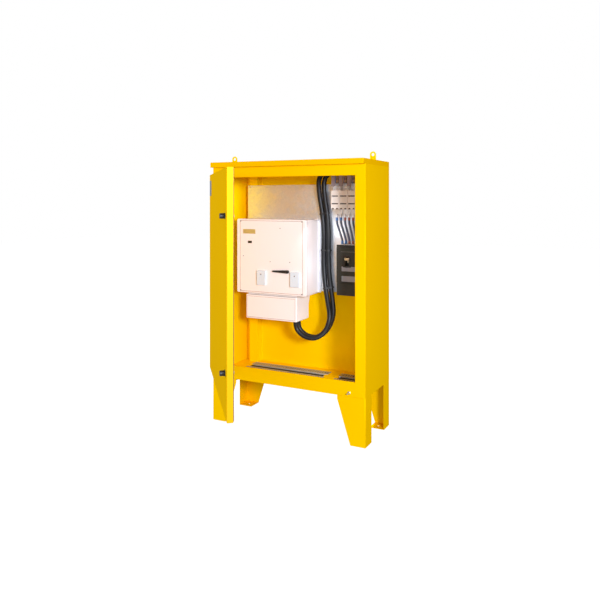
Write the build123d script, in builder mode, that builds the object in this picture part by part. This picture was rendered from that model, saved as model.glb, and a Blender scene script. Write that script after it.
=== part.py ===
"""Electrical connection cabinet: a sheet-steel pedestal cabinet with its door open.

Millimetres. X runs along the width, Y from the front to the back, Z up. The origin lies on the
ground, in the middle of the four anchor holes. The door stands open at door_angle.
"""

import os
from math import cos, pi, radians, sin, tan

from build123d import *

os.makedirs("parts", exist_ok=True)

# Cabinet body
body_width = 1000
body_depth = 400
body_height = 1282
leg_height = 268
sheet = 2
bend_radius = 3
stile_width = 62
top_rail_height = 62
bottom_rail_height = 82
frame_lip = 10
rear_return = 30
bolting_flange = 40
floor_height = 19
floor_flange = 15
top_flange = 20

# Roof and lifting lugs
roof_height = 31
roof_overhang = 30
roof_return = 28
lug_width = 36
lug_thickness = 6
lug_rise = 50
lug_hole_radius = 9
lug_inset = 30
lug_slot_clearance = 0.5

# Legs
leg_sheet = 3
leg_plate_top = 168
leg_plate_bottom = 89
leg_plate_straight = 20
leg_side = 95
leg_flange = 38
anchor_radius = 7
anchor_inset_x = 50
anchor_inset_y = 52
leg_bolt_radius = 5
leg_bolt_spacing = 70
leg_bolt_inset = 85
leg_bolt_depth = 22
leg_bolt_flats = 16
leg_bolt_head = 6.4
leg_nut_height = 8
bolt_end = 2
hole_clearance = 0.5
nut_fit = 0.05
cut_margin = 1

# Uprights and mounting plate
upright_width = 62
plate_side_gap = 45
plate_overhang = 9
plate_height = 663
plate_thickness = 2.5
plate_drop = 102
plate_standoff = 62.5
plate_screw_radius = 3
plate_screw_inset = 19
plate_screw_drop = 11
plate_corner = 4
screw_head_radius = 6.5
screw_head_height = 4
screw_head_edge = 1.2

# Cable entries in the floor
entry_depth = 152
rail_clearance = 2
entry_side_gaps = (120, 70)
entry_divider = (137, 230)
entry_corner = 4
rail_overlap = 6
rail_end_overlap = 12
rail_width = 57
rail_drop = 14
slot_length = 32
slot_width = 7
slot_pitch = 16

# Earth stud
earth_inset = 96
earth_rise = 21
earth_radius = 4
earth_length = 24
earth_washer_radius = 8.5
earth_washer = 1.6
earth_nut_height = 6.5

# Door, measured closed
door_angle = 50.4
door_reveal = 10
door_overlap_bottom = 24
door_overlap_top = 17
door_thickness = 30
door_gap = 4
hinge_side = 9
hinge_depth = 17.5
door_lip_side = 34
door_lip_end = 18
gasket_width = 12
gasket_thickness = 3.5
gasket_inset_hinge = 19
gasket_inset = 3
stiffener_width = 40
stiffener_depth = 16
stiffener_spacing = 380
gasket_corner = 8

# Hinges
hinge_inset = 180
hinge_pin_radius = 3
hinge_fit = 0.05
knuckle_radius = 6
knuckle_height = 30
hinge_lug = 4
hinge_gap = 0.3
bracket_arm = 10
bracket_base = 3
bracket_reach = 8
leaf_length = 36
leaf_thickness = 3
notch_margin = 3
hinge_pin_end = 1.5
hinge_pin_head = 4.2

# Quarter-turn locks
lock_inset = 75
lock_from_bottom = 212
lock_from_top = 228
lock_collar_radius = 14
lock_barrel_radius = 13.5
lock_projection = 26
lock_collar_depth = 2.5
lock_barrel_edge = 1.5
lock_sleeve_radius = 10
lock_sleeve_length = 19
lock_core_radius = 6
lock_square = 8
lock_fit = 0.05
cam_width = 18
cam_length = 44
cam_thickness = 2.5
cam_clearance = 1.5
cam_nut_flats = 13
cam_nut_height = 3
cam_notch_margin = 5
lock_nut_width = 27
lock_nut_depth = 5
lock_recess = 3
lock_key_radius = 4
lock_key_depth = 8
lock_shoulder_radius = 7.5
lock_corner = 4
lock_taper = 1.5

# Rating plate on the door
door_plate_width = 110
door_plate_height = 91
door_plate_thickness = 1
door_plate_inset = 14
door_plate_drop = 37
door_plate_corner = 3

# Metering box and the bracket behind it. Heights are above the lower edge of the mounting plate.
box_left = -428
box_width = 490
box_rise = -15
box_height = 463
box_depth = 169.5
box_wall = 4
box_corner = 12
bracket_depth = 8
bracket_sides = (8, 17)
bracket_ends = (6, 10)
lid_depth = 16
lid_edge = 4
lid_rim = 14
lid_groove = 2
lid_groove_depth = 1.2
lid_groove_corner = 6
neck_height = 10
neck_inset = 6
neck_corner = 5
neck_gap = 1
window_inset = 95
window_drop = 144
window_width = 30
window_height = 16
window_frame = 3
window_corner = 2
window_flange = 2
window_play = 0.1
window_recess = 1
meter_label_inset = 91
meter_label_drop = 78
meter_label_width = 90
meter_label_height = 28
meter_label_thickness = 0.6
meter_label_corner = 1.5
seal_block_insets = (183, 73)
seal_block_rise = 100
seal_block_width = 62
seal_block_height = 90
seal_block_depth = 14
seal_block_corner = 3
seal_block_taper = 3
seal_block_edge = 1.5
seal_slot = (8, 4, 5)
lid_screw_radius = 4
small_screw_radius = 2.8
lid_screw_head = 1.5
lid_screw_edge = 0.6
small_screw_places = ((311, 408), (48, 230), (242, 201), (379, 203))
lid_corner_inset = 29
lid_corner_drop = 13

# Switch lever on the metering box
switch_inset = 124
switch_rise = 145
switch_length = 104
switch_root = 20
switch_tip = 9
switch_depth = 12
switch_standoff = 2
switch_spindle_radius = 4
switch_spindle_length = 30
switch_edge = 2

# Terminal cover below the metering box
terminal_sides = (67, 66)
terminal_height = 148
terminal_rear_gap = 11.5
terminal_heel_reach = 24
terminal_heel_rise = 88
terminal_wall = 3
terminal_panel = 1.5
terminal_panel_inset = (9, 10)
terminal_panel_rise = 4
terminal_panel_corner = 4
terminal_corner = 6
terminal_edge = 5
conduit_socket = 9
conduit_boss = 7
conduit_boss_floor = 4

# Conduits
conduit_radius = 15
conduit_fit = 0.15
tie_height = 9
tie_thickness = 2.5
tie_clearance = 1
tie_rises = (27, 257, 483)
saddle_width = 16
saddle_height = 8
bushing_wall = 3.5
bushing_collar = 1
clamp_width = 20
clamp_depth = 16
clamp_wall = 5
clamp_end_gap = 6
arc_share = 0.45
climb_from = 0.3
climb_to = 0.95
climb_halvings = 40

# Fuse base. Its depths are measured from the mounting plate.
fuse_poles = 4
fuse_pitch = 53.5
fuse_center_x = 290
fuse_rise = 511
fuse_height = 113
fuse_depth = 87.5
fuse_block_depth = 57.5
fuse_wing = 43
fuse_wing_depth = 37.5
fuse_foot_depth = 15
barrier_thickness = 2
fuse_cover_gap = 0.5
fuse_slot_width = 42
fuse_slot_height = 6.5
fuse_slot_offset = 23
fuse_slot_depth = 14
fuse_slot_corner = 2
fuse_cover_corner = 3
fuse_cover_edge = 2
contact_width = 22
contact_thickness = 4
contact_upper = 39
contact_lower = 34
bolt_flats = 13
bolt_head = 5.5
boot_radius = 15
boot_bore = 11
boot_height = 45
boot_offset = 10

# Power cables from the fuse base to the breaker
cable_radius = 6.5
lug_palm = 3
lug_palm_corner = 2
lug_palm_drop = 2
lug_bolt_rise = 3
lug_barrel_wall = 0.5
lug_barrel_length = 20
lug_barrel_overlap = 6
sleeve_wall = 0.8
sleeve_fit = 0.05
sleeve_length = 18
cable_straight = 34
cable_entry_rise = 25
cable_entry_depth = 40

# Circuit breaker. Its depths are measured from the mounting plate.
breaker_poles = 4
breaker_pitch = 46.5
breaker_center_x = 319.5
breaker_rise = -2
breaker_height = 302
breaker_case_depth = 92.5
breaker_depth = 102.5
breaker_cover_rise = 74
breaker_cover_drop = 14
breaker_groove = 5
breaker_groove_depth = 30
breaker_groove_height = 20
breaker_groove_low = 10
breaker_groove_high = 5
breaker_corner = 4
cover_corner = 3
cover_edge = 1.5
cover_step = 2
cover_seam = 1
nose_step = 6
nose_taper = 12
nose_side = 25
nose_end = 6
vent_width = 26
vent_height = 5
vent_depth = 4
toggle_rise = 205
toggle_pivot_depth = 65.5
toggle_radius = 14
toggle_width = 24
toggle_paddle = 20
toggle_thickness = 12
toggle_reach = 46
toggle_angle = 20
toggle_clearance = 1
toggle_journal = 4
toggle_journal_length = 5
toggle_fit = 0.05
toggle_corner = 4
toggle_taper = 2
toggle_edge = 3

# Planes and levels that follow from the sizes above
left = -body_width / 2
right = body_width / 2
front = -body_depth / 2
back = body_depth / 2
body_bottom = leg_height
body_top = leg_height + body_height
opening_left = left + stile_width
opening_bottom = body_bottom + bottom_rail_height
opening_top = body_top - top_rail_height
floor_top = body_bottom + floor_height
left_entry = (left + entry_side_gaps[0], entry_divider[0])
right_entry = (entry_divider[1], right - entry_side_gaps[1])
earth_x = right - earth_inset
earth_z = body_bottom + earth_rise
door_left = left
door_right = right - door_reveal
door_bottom = opening_bottom - door_overlap_bottom
door_top = opening_top + door_overlap_top
hinge_x = left + hinge_side
hinge_y = front - hinge_depth
door_back = front - door_gap - hinge_y
door_face = door_back - door_thickness
lock_levels = (door_bottom + lock_from_bottom, door_top - lock_from_top)
door_start = door_left - hinge_x
door_end = door_right - hinge_x
plate_width = body_width - 2 * plate_side_gap
plate_top = body_top - plate_drop
plate_bottom = plate_top - plate_height
plate_front = back - plate_standoff
plate_back = plate_front + plate_thickness
entry_back = plate_back - rail_clearance - rail_overlap
entry_front = entry_back - entry_depth
upright_offset = plate_width / 2 - plate_overhang - upright_width
box_right = box_left + box_width
box_bottom = plate_bottom + box_rise
box_top = box_bottom + box_height
box_rear = plate_front - bracket_depth
box_front = box_rear - box_depth
terminal_left = box_left + terminal_sides[0]
terminal_right = box_right - terminal_sides[1]
terminal_top = box_bottom - neck_height
terminal_bottom = terminal_top - terminal_height
terminal_rear = plate_front - terminal_rear_gap
fuse_bottom = plate_bottom + fuse_rise
fuse_top = fuse_bottom + fuse_height
fuse_front = plate_front - fuse_depth
fuse_block_front = plate_front - fuse_block_depth
fuse_wing_front = plate_front - fuse_wing_depth
breaker_bottom = plate_bottom + breaker_rise
breaker_top = breaker_bottom + breaker_height
breaker_case_front = plate_front - breaker_case_depth
breaker_front = plate_front - breaker_depth
breaker_cover_bottom = breaker_bottom + breaker_cover_rise
breaker_cover_top = breaker_top - breaker_cover_drop
fuse_foot_front = plate_front - fuse_foot_depth
fuse_cable_offset = fuse_pitch / 4
breaker_cable_offset = breaker_pitch / 4
toggle_x = breaker_center_x - breaker_pitch / 2
toggle_z = breaker_bottom + toggle_rise
toggle_pivot_y = plate_front - toggle_pivot_depth
fuse_pole_x = [fuse_center_x + fuse_pitch * (i - (fuse_poles - 1) / 2) for i in range(fuse_poles)]
breaker_pole_x = [
    breaker_center_x + breaker_pitch * (i - (breaker_poles - 1) / 2) for i in range(breaker_poles)
]


def write(piece, name):
    """Label a finished piece and write it under its node name."""
    piece.part.label = name
    export_step(piece.part, f"parts/{name}.step")


def folded(plane, skin, side, thickness=sheet):
    """The section of a folded sheet, drawn along its outer skin."""
    with BuildSketch(plane) as section:
        with BuildLine():
            FilletPolyline(*skin, radius=bend_radius * thickness / sheet)
            offset(amount=thickness, side=side)
        make_face()
    return section.sketch


def polygon(plane, points):
    """A flat face with straight edges."""
    with BuildSketch(plane) as outline:
        with BuildLine():
            Polyline(*points, close=True)
        make_face()
    return outline.sketch


def on_door(depth):
    """A plane parallel to the door's face: x from the hinge axis, y up, facing outward."""
    closed = Plane(origin=(hinge_x, hinge_y, 0), x_dir=(1, 0, 0), z_dir=(0, 0, 1))
    swung = closed.rotated((0, 0, -door_angle))
    return Plane(origin=swung.from_local_coords((0, depth, 0)), x_dir=swung.x_dir, z_dir=-swung.y_dir)


def door_floor(height):
    """A level plane turned with the door: x along the door, y towards the cabinet when closed."""
    closed = Plane(origin=(hinge_x, hinge_y, height), x_dir=(1, 0, 0), z_dir=(0, 0, 1))
    return closed.rotated((0, 0, -door_angle))


def wall(y):
    """A plane that faces the front at the depth y: x to the right, y up."""
    return Plane.XZ.offset(-y)


# Side panels: one folded sheet each, with the front stile, its lip and the rear return.
mitre_start = left + bend_radius
bottom_mitre = [(mitre_start, body_bottom), (opening_left, opening_bottom), (opening_left, body_bottom)]
top_mitre = [(mitre_start, body_top), (opening_left, opening_top), (opening_left, body_top)]
with BuildPart() as side_panel_left:
    panel_skin = [
        (opening_left, front + frame_lip),
        (opening_left, front),
        (left, front),
        (left, back),
        (left + rear_return, back),
    ]
    extrude(folded(Plane.XY.offset(body_bottom), panel_skin, Side.RIGHT), amount=body_height)
    extrude(polygon(wall(front), bottom_mitre), amount=-frame_lip, mode=Mode.SUBTRACT)
    extrude(polygon(wall(front), top_mitre), amount=-frame_lip, mode=Mode.SUBTRACT)

# The right one has a notch in its lip at each lock, where the cam turns in behind the stile.
with BuildPart() as side_panel_right:
    mirror(side_panel_left.part, about=Plane.YZ)
    notch_low = cam_width / 2 + cam_notch_margin
    notch_high = cam_length - cam_width / 2 + cam_notch_margin
    with BuildSketch(Plane.YZ.offset(-opening_left)):
        for z in lock_levels:
            with Locations((front + frame_lip / 2 + bend_radius, z + (notch_high - notch_low) / 2)):
                Rectangle(frame_lip, notch_low + notch_high)
    extrude(amount=sheet, mode=Mode.SUBTRACT)

# Top and bottom rails of the front frame, mitred to the stiles.
rail_length = 2 * -mitre_start
with BuildPart() as top_rail:
    rail_skin = [(front, body_top), (front, opening_top), (front + frame_lip, opening_top)]
    extrude(folded(Plane.YZ.offset(mitre_start), rail_skin, Side.LEFT), amount=rail_length)
    cut = [(mitre_start, body_top), (opening_left, opening_top), (mitre_start, opening_top)]
    for corner in (cut, [(-x, z) for x, z in cut]):
        extrude(polygon(wall(front), corner), amount=-frame_lip, mode=Mode.SUBTRACT)

with BuildPart() as bottom_rail:
    rail_skin = [
        (front + frame_lip, opening_bottom),
        (front, opening_bottom),
        (front, body_bottom),
        (front + bolting_flange, body_bottom),
    ]
    extrude(folded(Plane.YZ.offset(mitre_start), rail_skin, Side.LEFT), amount=rail_length)
    cut = [(mitre_start, body_bottom), (opening_left, opening_bottom), (mitre_start, opening_bottom)]
    for corner in (cut, [(-x, z) for x, z in cut]):
        extrude(polygon(wall(front), corner), amount=-frame_lip, mode=Mode.SUBTRACT)
    leg_bolt_points = [
        (side * (right - leg_bolt_inset - i * leg_bolt_spacing), end * (back - leg_bolt_depth))
        for side in (-1, 1)
        for end in (-1, 1)
        for i in (0, 1)
    ]
    with Locations(*[(x, y, body_bottom) for x, y in leg_bolt_points if y < 0]):
        Cylinder(leg_bolt_radius + hole_clearance, 3 * sheet, mode=Mode.SUBTRACT)

# Back panel with the flange that the rear legs bolt to.
with BuildPart() as back_panel:
    panel_skin = [(back - bolting_flange, body_bottom), (back, body_bottom), (back, body_top)]
    panel_length = body_width - 2 * rear_return
    extrude(folded(Plane.YZ.offset(-panel_length / 2), panel_skin, Side.LEFT), amount=panel_length)
    with Locations(*[(x, y, body_bottom) for x, y in leg_bolt_points if y > 0]):
        Cylinder(leg_bolt_radius + hole_clearance, 3 * sheet, mode=Mode.SUBTRACT)

# Inner floor with its two cable entries.
inside_depth = body_depth - 2 * sheet
corner_notch = (4 * bend_radius, 4 * bend_radius, 4 * top_flange)
with BuildPart() as floor_panel:
    floor_skin = [
        (left + sheet, floor_top - floor_flange),
        (left + sheet, floor_top),
        (right - sheet, floor_top),
        (right - sheet, floor_top - floor_flange),
    ]
    extrude(folded(wall(front + sheet), floor_skin, Side.RIGHT), amount=-inside_depth)
    with Locations((0, 0, floor_top)):
        with GridLocations(body_width, body_depth, 2, 2):
            Box(*corner_notch, mode=Mode.SUBTRACT)
    with BuildSketch(Plane.XY.offset(floor_top)):
        for start, end in (left_entry, right_entry):
            with Locations(((start + end) / 2, (entry_front + entry_back) / 2)):
                RectangleRounded(end - start, entry_back - entry_front, entry_corner)
    extrude(amount=-sheet, mode=Mode.SUBTRACT)

# Top sheet of the body, which the roof tray covers.
with BuildPart() as top_sheet:
    top_skin = [
        (left + sheet, body_top - top_flange),
        (left + sheet, body_top),
        (right - sheet, body_top),
        (right - sheet, body_top - top_flange),
    ]
    extrude(folded(wall(front + sheet), top_skin, Side.RIGHT), amount=-inside_depth)
    with Locations((0, 0, body_top)):
        with GridLocations(body_width, body_depth, 2, 2):
            Box(*corner_notch, mode=Mode.SUBTRACT)

# Roof tray, open below, with a return under its front edge and slots for the lugs.
lug_x = right - lug_inset
roof_front = front - roof_overhang
roof_top = body_top + roof_height
with BuildPart() as roof_tray:
    with BuildSketch(Plane.XY.offset(body_top)):
        with Locations((0, (roof_front + back) / 2)):
            Rectangle(body_width, back - roof_front)
    extrude(amount=roof_height)
    upright_edges = roof_tray.edges().filter_by(Axis.Z)
    top_edges = roof_tray.edges().group_by(Axis.Z)[-1]
    fillet(upright_edges + top_edges, radius=bend_radius)
    offset(amount=-sheet, openings=roof_tray.faces().sort_by(Axis.Z)[0])
    with BuildSketch(Plane.XY.offset(body_top)):
        with Locations((0, roof_front + sheet + (roof_return - sheet) / 2)):
            Rectangle(body_width - 2 * bend_radius, roof_return - sheet)
    extrude(amount=sheet)
    with BuildSketch(Plane.XY.offset(roof_top)):
        with Locations((-lug_x, 0), (lug_x, 0)):
            Rectangle(lug_width + 2 * lug_slot_clearance, lug_thickness + 2 * lug_slot_clearance)
    extrude(amount=-sheet, mode=Mode.SUBTRACT)

# Lifting lugs, welded on the top sheet and standing through the roof.
with BuildPart() as lifting_lug_left:
    with BuildSketch(wall(-lug_thickness / 2)):
        with BuildLine():
            lug_eye_z = roof_top + lug_rise - lug_width / 2
            lug_sides = (-lug_x - lug_width / 2, -lug_x + lug_width / 2)
            Line((lug_sides[0], lug_eye_z), (lug_sides[0], body_top))
            Line((lug_sides[0], body_top), (lug_sides[1], body_top))
            Line((lug_sides[1], body_top), (lug_sides[1], lug_eye_z))
            ThreePointArc(
                (lug_sides[1], lug_eye_z), (-lug_x, roof_top + lug_rise), (lug_sides[0], lug_eye_z)
            )
        make_face()
        with Locations((-lug_x, lug_eye_z)):
            Circle(lug_hole_radius, mode=Mode.SUBTRACT)
    extrude(amount=-lug_thickness)

with BuildPart() as lifting_lug_right:
    mirror(lifting_lug_left.part, about=Plane.YZ)

# Legs: a tapered plate, a side plate, a bolting flange on top and a foot with its anchor hole.
leg_inner_top = left + leg_plate_top
leg_inner_bottom = left + leg_plate_bottom
with BuildPart() as leg_front_left:
    leg_skin = [(leg_inner_top, front), (left, front), (left, front + leg_side)]
    extrude(folded(Plane.XY, leg_skin, Side.RIGHT, leg_sheet), amount=leg_height)
    taper = [
        (leg_inner_top, leg_height - leg_plate_straight),
        (leg_inner_bottom, 0),
        (leg_inner_top, 0),
    ]
    extrude(polygon(wall(front), taper), amount=-leg_sheet, mode=Mode.SUBTRACT)
    inside_x = left + leg_sheet
    inside_y = front + leg_sheet
    with BuildSketch(Plane.XY):
        Polygon(
            (inside_x, inside_y),
            (leg_inner_bottom, inside_y),
            (leg_inner_bottom, front + leg_side),
            (inside_x, front + leg_side),
            align=None,
        )
        with Locations((left + anchor_inset_x, front + anchor_inset_y)):
            Circle(anchor_radius, mode=Mode.SUBTRACT)
    extrude(amount=leg_sheet)
    with BuildSketch(Plane.XY.offset(leg_height)):
        Polygon(
            (inside_x, inside_y),
            (leg_inner_top, inside_y),
            (leg_inner_top, front + leg_flange),
            (inside_x, front + leg_flange),
            align=None,
        )
        with Locations(*[point for point in leg_bolt_points if point[0] < 0 and point[1] < 0]):
            Circle(leg_bolt_radius + hole_clearance, mode=Mode.SUBTRACT)
    extrude(amount=-leg_sheet)

with BuildPart() as leg_front_right:
    mirror(leg_front_left.part, about=Plane.YZ)

with BuildPart() as leg_rear_left:
    mirror(leg_front_left.part, about=Plane.XZ)

with BuildPart() as leg_rear_right:
    mirror(leg_rear_left.part, about=Plane.YZ)

# Bolts from below through each leg flange, with their nuts.
with BuildPart() as leg_bolts:
    head_top = leg_height - leg_sheet
    nut_bottom = body_bottom + sheet
    with BuildSketch(Plane.XY.offset(head_top - leg_bolt_head)):
        with Locations(*leg_bolt_points):
            RegularPolygon(leg_bolt_flats / 2, 6, major_radius=False)
    extrude(amount=leg_bolt_head)
    with BuildSketch(Plane.XY.offset(head_top)):
        with Locations(*leg_bolt_points):
            Circle(leg_bolt_radius)
    extrude(amount=leg_sheet + sheet + leg_nut_height + bolt_end)
    with BuildSketch(Plane.XY.offset(nut_bottom)):
        with Locations(*leg_bolt_points):
            RegularPolygon(leg_bolt_flats / 2, 6, major_radius=False)
            Circle(leg_bolt_radius + nut_fit, mode=Mode.SUBTRACT)
    extrude(amount=leg_nut_height)

# Uprights: channels from the floor to the top sheet, welded to the back panel.
with BuildPart() as upright_left:
    channel_skin = [
        (-upright_offset - upright_width, back - sheet),
        (-upright_offset - upright_width, plate_back),
        (-upright_offset, plate_back),
        (-upright_offset, back - sheet),
    ]
    upright_height = body_top - sheet - floor_top
    extrude(folded(Plane.XY.offset(floor_top), channel_skin, Side.LEFT), amount=upright_height)
    screw_x = plate_width / 2 - plate_screw_inset
    screw_levels = (plate_bottom + plate_screw_drop, plate_top - plate_screw_drop)
    with Locations(*[(-screw_x, plate_back, z) for z in screw_levels]):
        Cylinder(
            plate_screw_radius + nut_fit, 3 * sheet, rotation=(90, 0, 0), mode=Mode.SUBTRACT
        )

with BuildPart() as upright_right:
    mirror(upright_left.part, about=Plane.YZ)

# Galvanised mounting plate and the screws that hold it to the uprights.
with BuildPart() as mounting_plate:
    with BuildSketch(wall(plate_front)):
        with Locations((0, (plate_bottom + plate_top) / 2)):
            RectangleRounded(plate_width, plate_height, plate_corner)
        with Locations(*[(side * screw_x, z) for side in (-1, 1) for z in screw_levels]):
            Circle(plate_screw_radius + hole_clearance, mode=Mode.SUBTRACT)
    extrude(amount=-plate_thickness)

with BuildPart() as plate_screws:
    with BuildSketch(wall(plate_front)):
        with Locations(*[(side * screw_x, z) for side in (-1, 1) for z in screw_levels]):
            Circle(screw_head_radius)
    extrude(amount=screw_head_height)
    fillet(plate_screws.edges().group_by(Axis.Y)[0], radius=screw_head_edge)
    with BuildSketch(wall(plate_front)):
        with Locations(*[(side * screw_x, z) for side in (-1, 1) for z in screw_levels]):
            Circle(plate_screw_radius)
    extrude(amount=-(plate_thickness + 4 * sheet))


def cable_rails(entry):
    """Two slotted rails that leave a gap for the cables between them, over one floor entry."""
    start = entry[0] - rail_end_overlap
    length = entry[1] - entry[0] + 2 * rail_end_overlap
    slots = int((length - slot_pitch) // slot_pitch) + 1
    with BuildPart() as rails:
        for edge, toward in ((entry_front - rail_overlap, 1), (entry_back + rail_overlap, -1)):
            lip = edge + toward * rail_width
            skin = [(edge, floor_top + sheet), (lip, floor_top + sheet), (lip, floor_top - rail_drop)]
            side = Side.RIGHT if toward > 0 else Side.LEFT
            extrude(folded(Plane.YZ.offset(start), skin, side), amount=length)
            with BuildSketch(Plane.XY.offset(floor_top + sheet)):
                with Locations((start + length / 2, edge + toward * rail_width / 2)):
                    with GridLocations(slot_pitch, 1, slots, 1):
                        Rectangle(slot_width, slot_length)
            extrude(amount=-sheet, mode=Mode.SUBTRACT)
        notch = rail_end_overlap + cut_margin
        for end in (start, start + length - notch):
            with BuildSketch(Plane.XY.offset(floor_top)):
                with Locations((end + notch / 2, (entry_front + entry_back) / 2)):
                    Rectangle(notch, entry_back - entry_front + 2 * rail_overlap)
            extrude(amount=-rail_drop, mode=Mode.SUBTRACT)
    return rails


cable_rails_left = cable_rails(left_entry)
cable_rails_right = cable_rails(right_entry)

# Earth stud welded to the bottom rail, with a washer and a nut.
with BuildPart() as earth_stud:
    with BuildSketch(wall(front)):
        with Locations((earth_x, earth_z)):
            Circle(earth_radius)
    extrude(amount=earth_length)
    with BuildSketch(wall(front)):
        with Locations((earth_x, earth_z)):
            Circle(earth_washer_radius)
            Circle(earth_radius + nut_fit, mode=Mode.SUBTRACT)
    extrude(amount=earth_washer)
    with BuildSketch(wall(front - earth_washer)):
        with Locations((earth_x, earth_z)):
            RegularPolygon(bolt_flats / 2, 6, major_radius=False)
            Circle(earth_radius + nut_fit, mode=Mode.SUBTRACT)
    extrude(amount=earth_nut_height)

# Door: a folded tray with return lips, notched where the hinges pass.
door_width = door_right - door_left
door_height = door_top - door_bottom
door_middle = ((door_start + door_end) / 2, (door_bottom + door_top) / 2)
hinge_levels = (door_bottom + hinge_inset, door_top - hinge_inset)
lock_x = door_end - lock_inset
notch_height = knuckle_height + 2 * (hinge_gap + hinge_lug + notch_margin)
with BuildPart() as door_panel:
    with BuildSketch(on_door(door_face)):
        with Locations(door_middle):
            Rectangle(door_width, door_height)
    extrude(amount=-door_thickness)
    outward = Axis((0, 0, 0), on_door(0).z_dir)
    corner_edges = door_panel.edges().filter_by(outward)
    outer_edges = door_panel.faces().sort_by(outward)[-1].edges()
    fillet(corner_edges + outer_edges, radius=bend_radius)
    with BuildSketch(on_door(door_face + sheet)):
        with Locations(door_middle):
            Rectangle(door_width - 2 * sheet, door_height - 2 * sheet)
    extrude(amount=-(door_thickness - 2 * sheet), mode=Mode.SUBTRACT)
    with BuildSketch(on_door(door_back - sheet)):
        with Locations(door_middle):
            Rectangle(door_width - 2 * door_lip_side, door_height - 2 * door_lip_end)
    extrude(amount=-sheet, mode=Mode.SUBTRACT)
    with BuildSketch(on_door(door_face + sheet)):
        with Locations(*[(door_start + bracket_reach, z) for z in hinge_levels]):
            Rectangle(2 * bracket_reach, notch_height)
    extrude(amount=-door_thickness, mode=Mode.SUBTRACT)
    with BuildSketch(on_door(door_face)):
        with Locations(*[(lock_x, z) for z in lock_levels]):
            Circle(lock_sleeve_radius + lock_fit)
    extrude(amount=-sheet, mode=Mode.SUBTRACT)

with BuildPart() as door_gasket:
    with BuildSketch(on_door(door_back)):
        gasket_start = door_start + gasket_inset_hinge
        gasket_end = door_end - gasket_inset
        gasket_z = (door_bottom + gasket_inset, door_top - gasket_inset)
        gasket_middle = ((gasket_start + gasket_end) / 2, sum(gasket_z) / 2)
        with Locations(gasket_middle):
            RectangleRounded(gasket_end - gasket_start, gasket_z[1] - gasket_z[0], gasket_corner)
            RectangleRounded(
                gasket_end - gasket_start - 2 * gasket_width,
                gasket_z[1] - gasket_z[0] - 2 * gasket_width,
                gasket_corner / 2,
                mode=Mode.SUBTRACT,
            )
    extrude(amount=-gasket_thickness)

with BuildPart() as door_stiffeners:
    stiffener_length = door_height - 2 * door_lip_end - 2 * bend_radius
    stiffener_bottom = door_bottom + door_lip_end + bend_radius
    for x in (door_middle[0] - stiffener_spacing / 2, door_middle[0] + stiffener_spacing / 2):
        inner_face = door_face + sheet
        stiffener_skin = [
            (x - stiffener_width, inner_face + sheet),
            (x - stiffener_width / 2, inner_face + sheet),
            (x - stiffener_width / 2, inner_face + stiffener_depth),
            (x + stiffener_width / 2, inner_face + stiffener_depth),
            (x + stiffener_width / 2, inner_face + sheet),
            (x + stiffener_width, inner_face + sheet),
        ]
        extrude(folded(door_floor(stiffener_bottom), stiffener_skin, Side.RIGHT), amount=stiffener_length)

with BuildPart() as door_plate:
    with BuildSketch(on_door(door_face)):
        door_plate_x = door_start + door_plate_inset + door_plate_width / 2
        with Locations((door_plate_x, door_top - door_plate_drop - door_plate_height / 2)):
            RectangleRounded(door_plate_width, door_plate_height, door_plate_corner)
    extrude(amount=door_plate_thickness)

# Concealed hinges: a bracket on the stile, two lugs on the door, one pin each.
with BuildPart() as hinge_brackets:
    for z in hinge_levels:
        with BuildSketch(Plane.XY.offset(z - knuckle_height / 2)):
            with Locations((hinge_x, hinge_y + hinge_depth / 2)):
                Rectangle(bracket_arm, hinge_depth)
            with Locations((hinge_x, hinge_y)):
                Circle(knuckle_radius)
            with Locations((hinge_x + bracket_reach / 2 - knuckle_radius / 2, front - bracket_base / 2)):
                Rectangle(bracket_reach + knuckle_radius, bracket_base)
            with Locations((hinge_x, hinge_y)):
                Circle(hinge_pin_radius + hinge_fit, mode=Mode.SUBTRACT)
        extrude(amount=knuckle_height)

with BuildPart() as hinge_leaves:
    leaf_back = door_face + sheet
    lug_offset = knuckle_height / 2 + hinge_gap
    for z in hinge_levels:
        for bottom in (z - lug_offset - hinge_lug, z + lug_offset):
            with BuildSketch(door_floor(bottom)):
                Circle(knuckle_radius)
                Polygon(
                    (-knuckle_radius, leaf_back),
                    (leaf_length, leaf_back),
                    (leaf_length, leaf_back + leaf_thickness),
                    (knuckle_radius, 0),
                    (-knuckle_radius, 0),
                    align=None,
                )
                Circle(hinge_pin_radius + hinge_fit, mode=Mode.SUBTRACT)
            extrude(amount=hinge_lug)
        with BuildSketch(door_floor(z - lug_offset - hinge_lug)):
            with Locations(((leaf_length + bracket_reach) / 2, leaf_back + leaf_thickness / 2)):
                Rectangle(leaf_length - bracket_reach, leaf_thickness)
        extrude(amount=2 * (lug_offset + hinge_lug))

with BuildPart() as hinge_pins:
    pin_half = lug_offset + hinge_lug + hinge_pin_end
    for z in hinge_levels:
        with BuildSketch(Plane.XY.offset(z - pin_half)):
            with Locations((hinge_x, hinge_y)):
                Circle(hinge_pin_radius)
        extrude(amount=2 * pin_half)
        with BuildSketch(Plane.XY.offset(z + pin_half)):
            with Locations((hinge_x, hinge_y)):
                Circle(hinge_pin_head)
        extrude(amount=hinge_pin_end)

# Quarter-turn locks: housing on the door, core with its cam behind the stile, nut.
sleeve_end = door_face + lock_sleeve_length
cam_front = door_back + door_gap + sheet + cam_clearance
core_front = door_face - lock_projection + lock_recess


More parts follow.
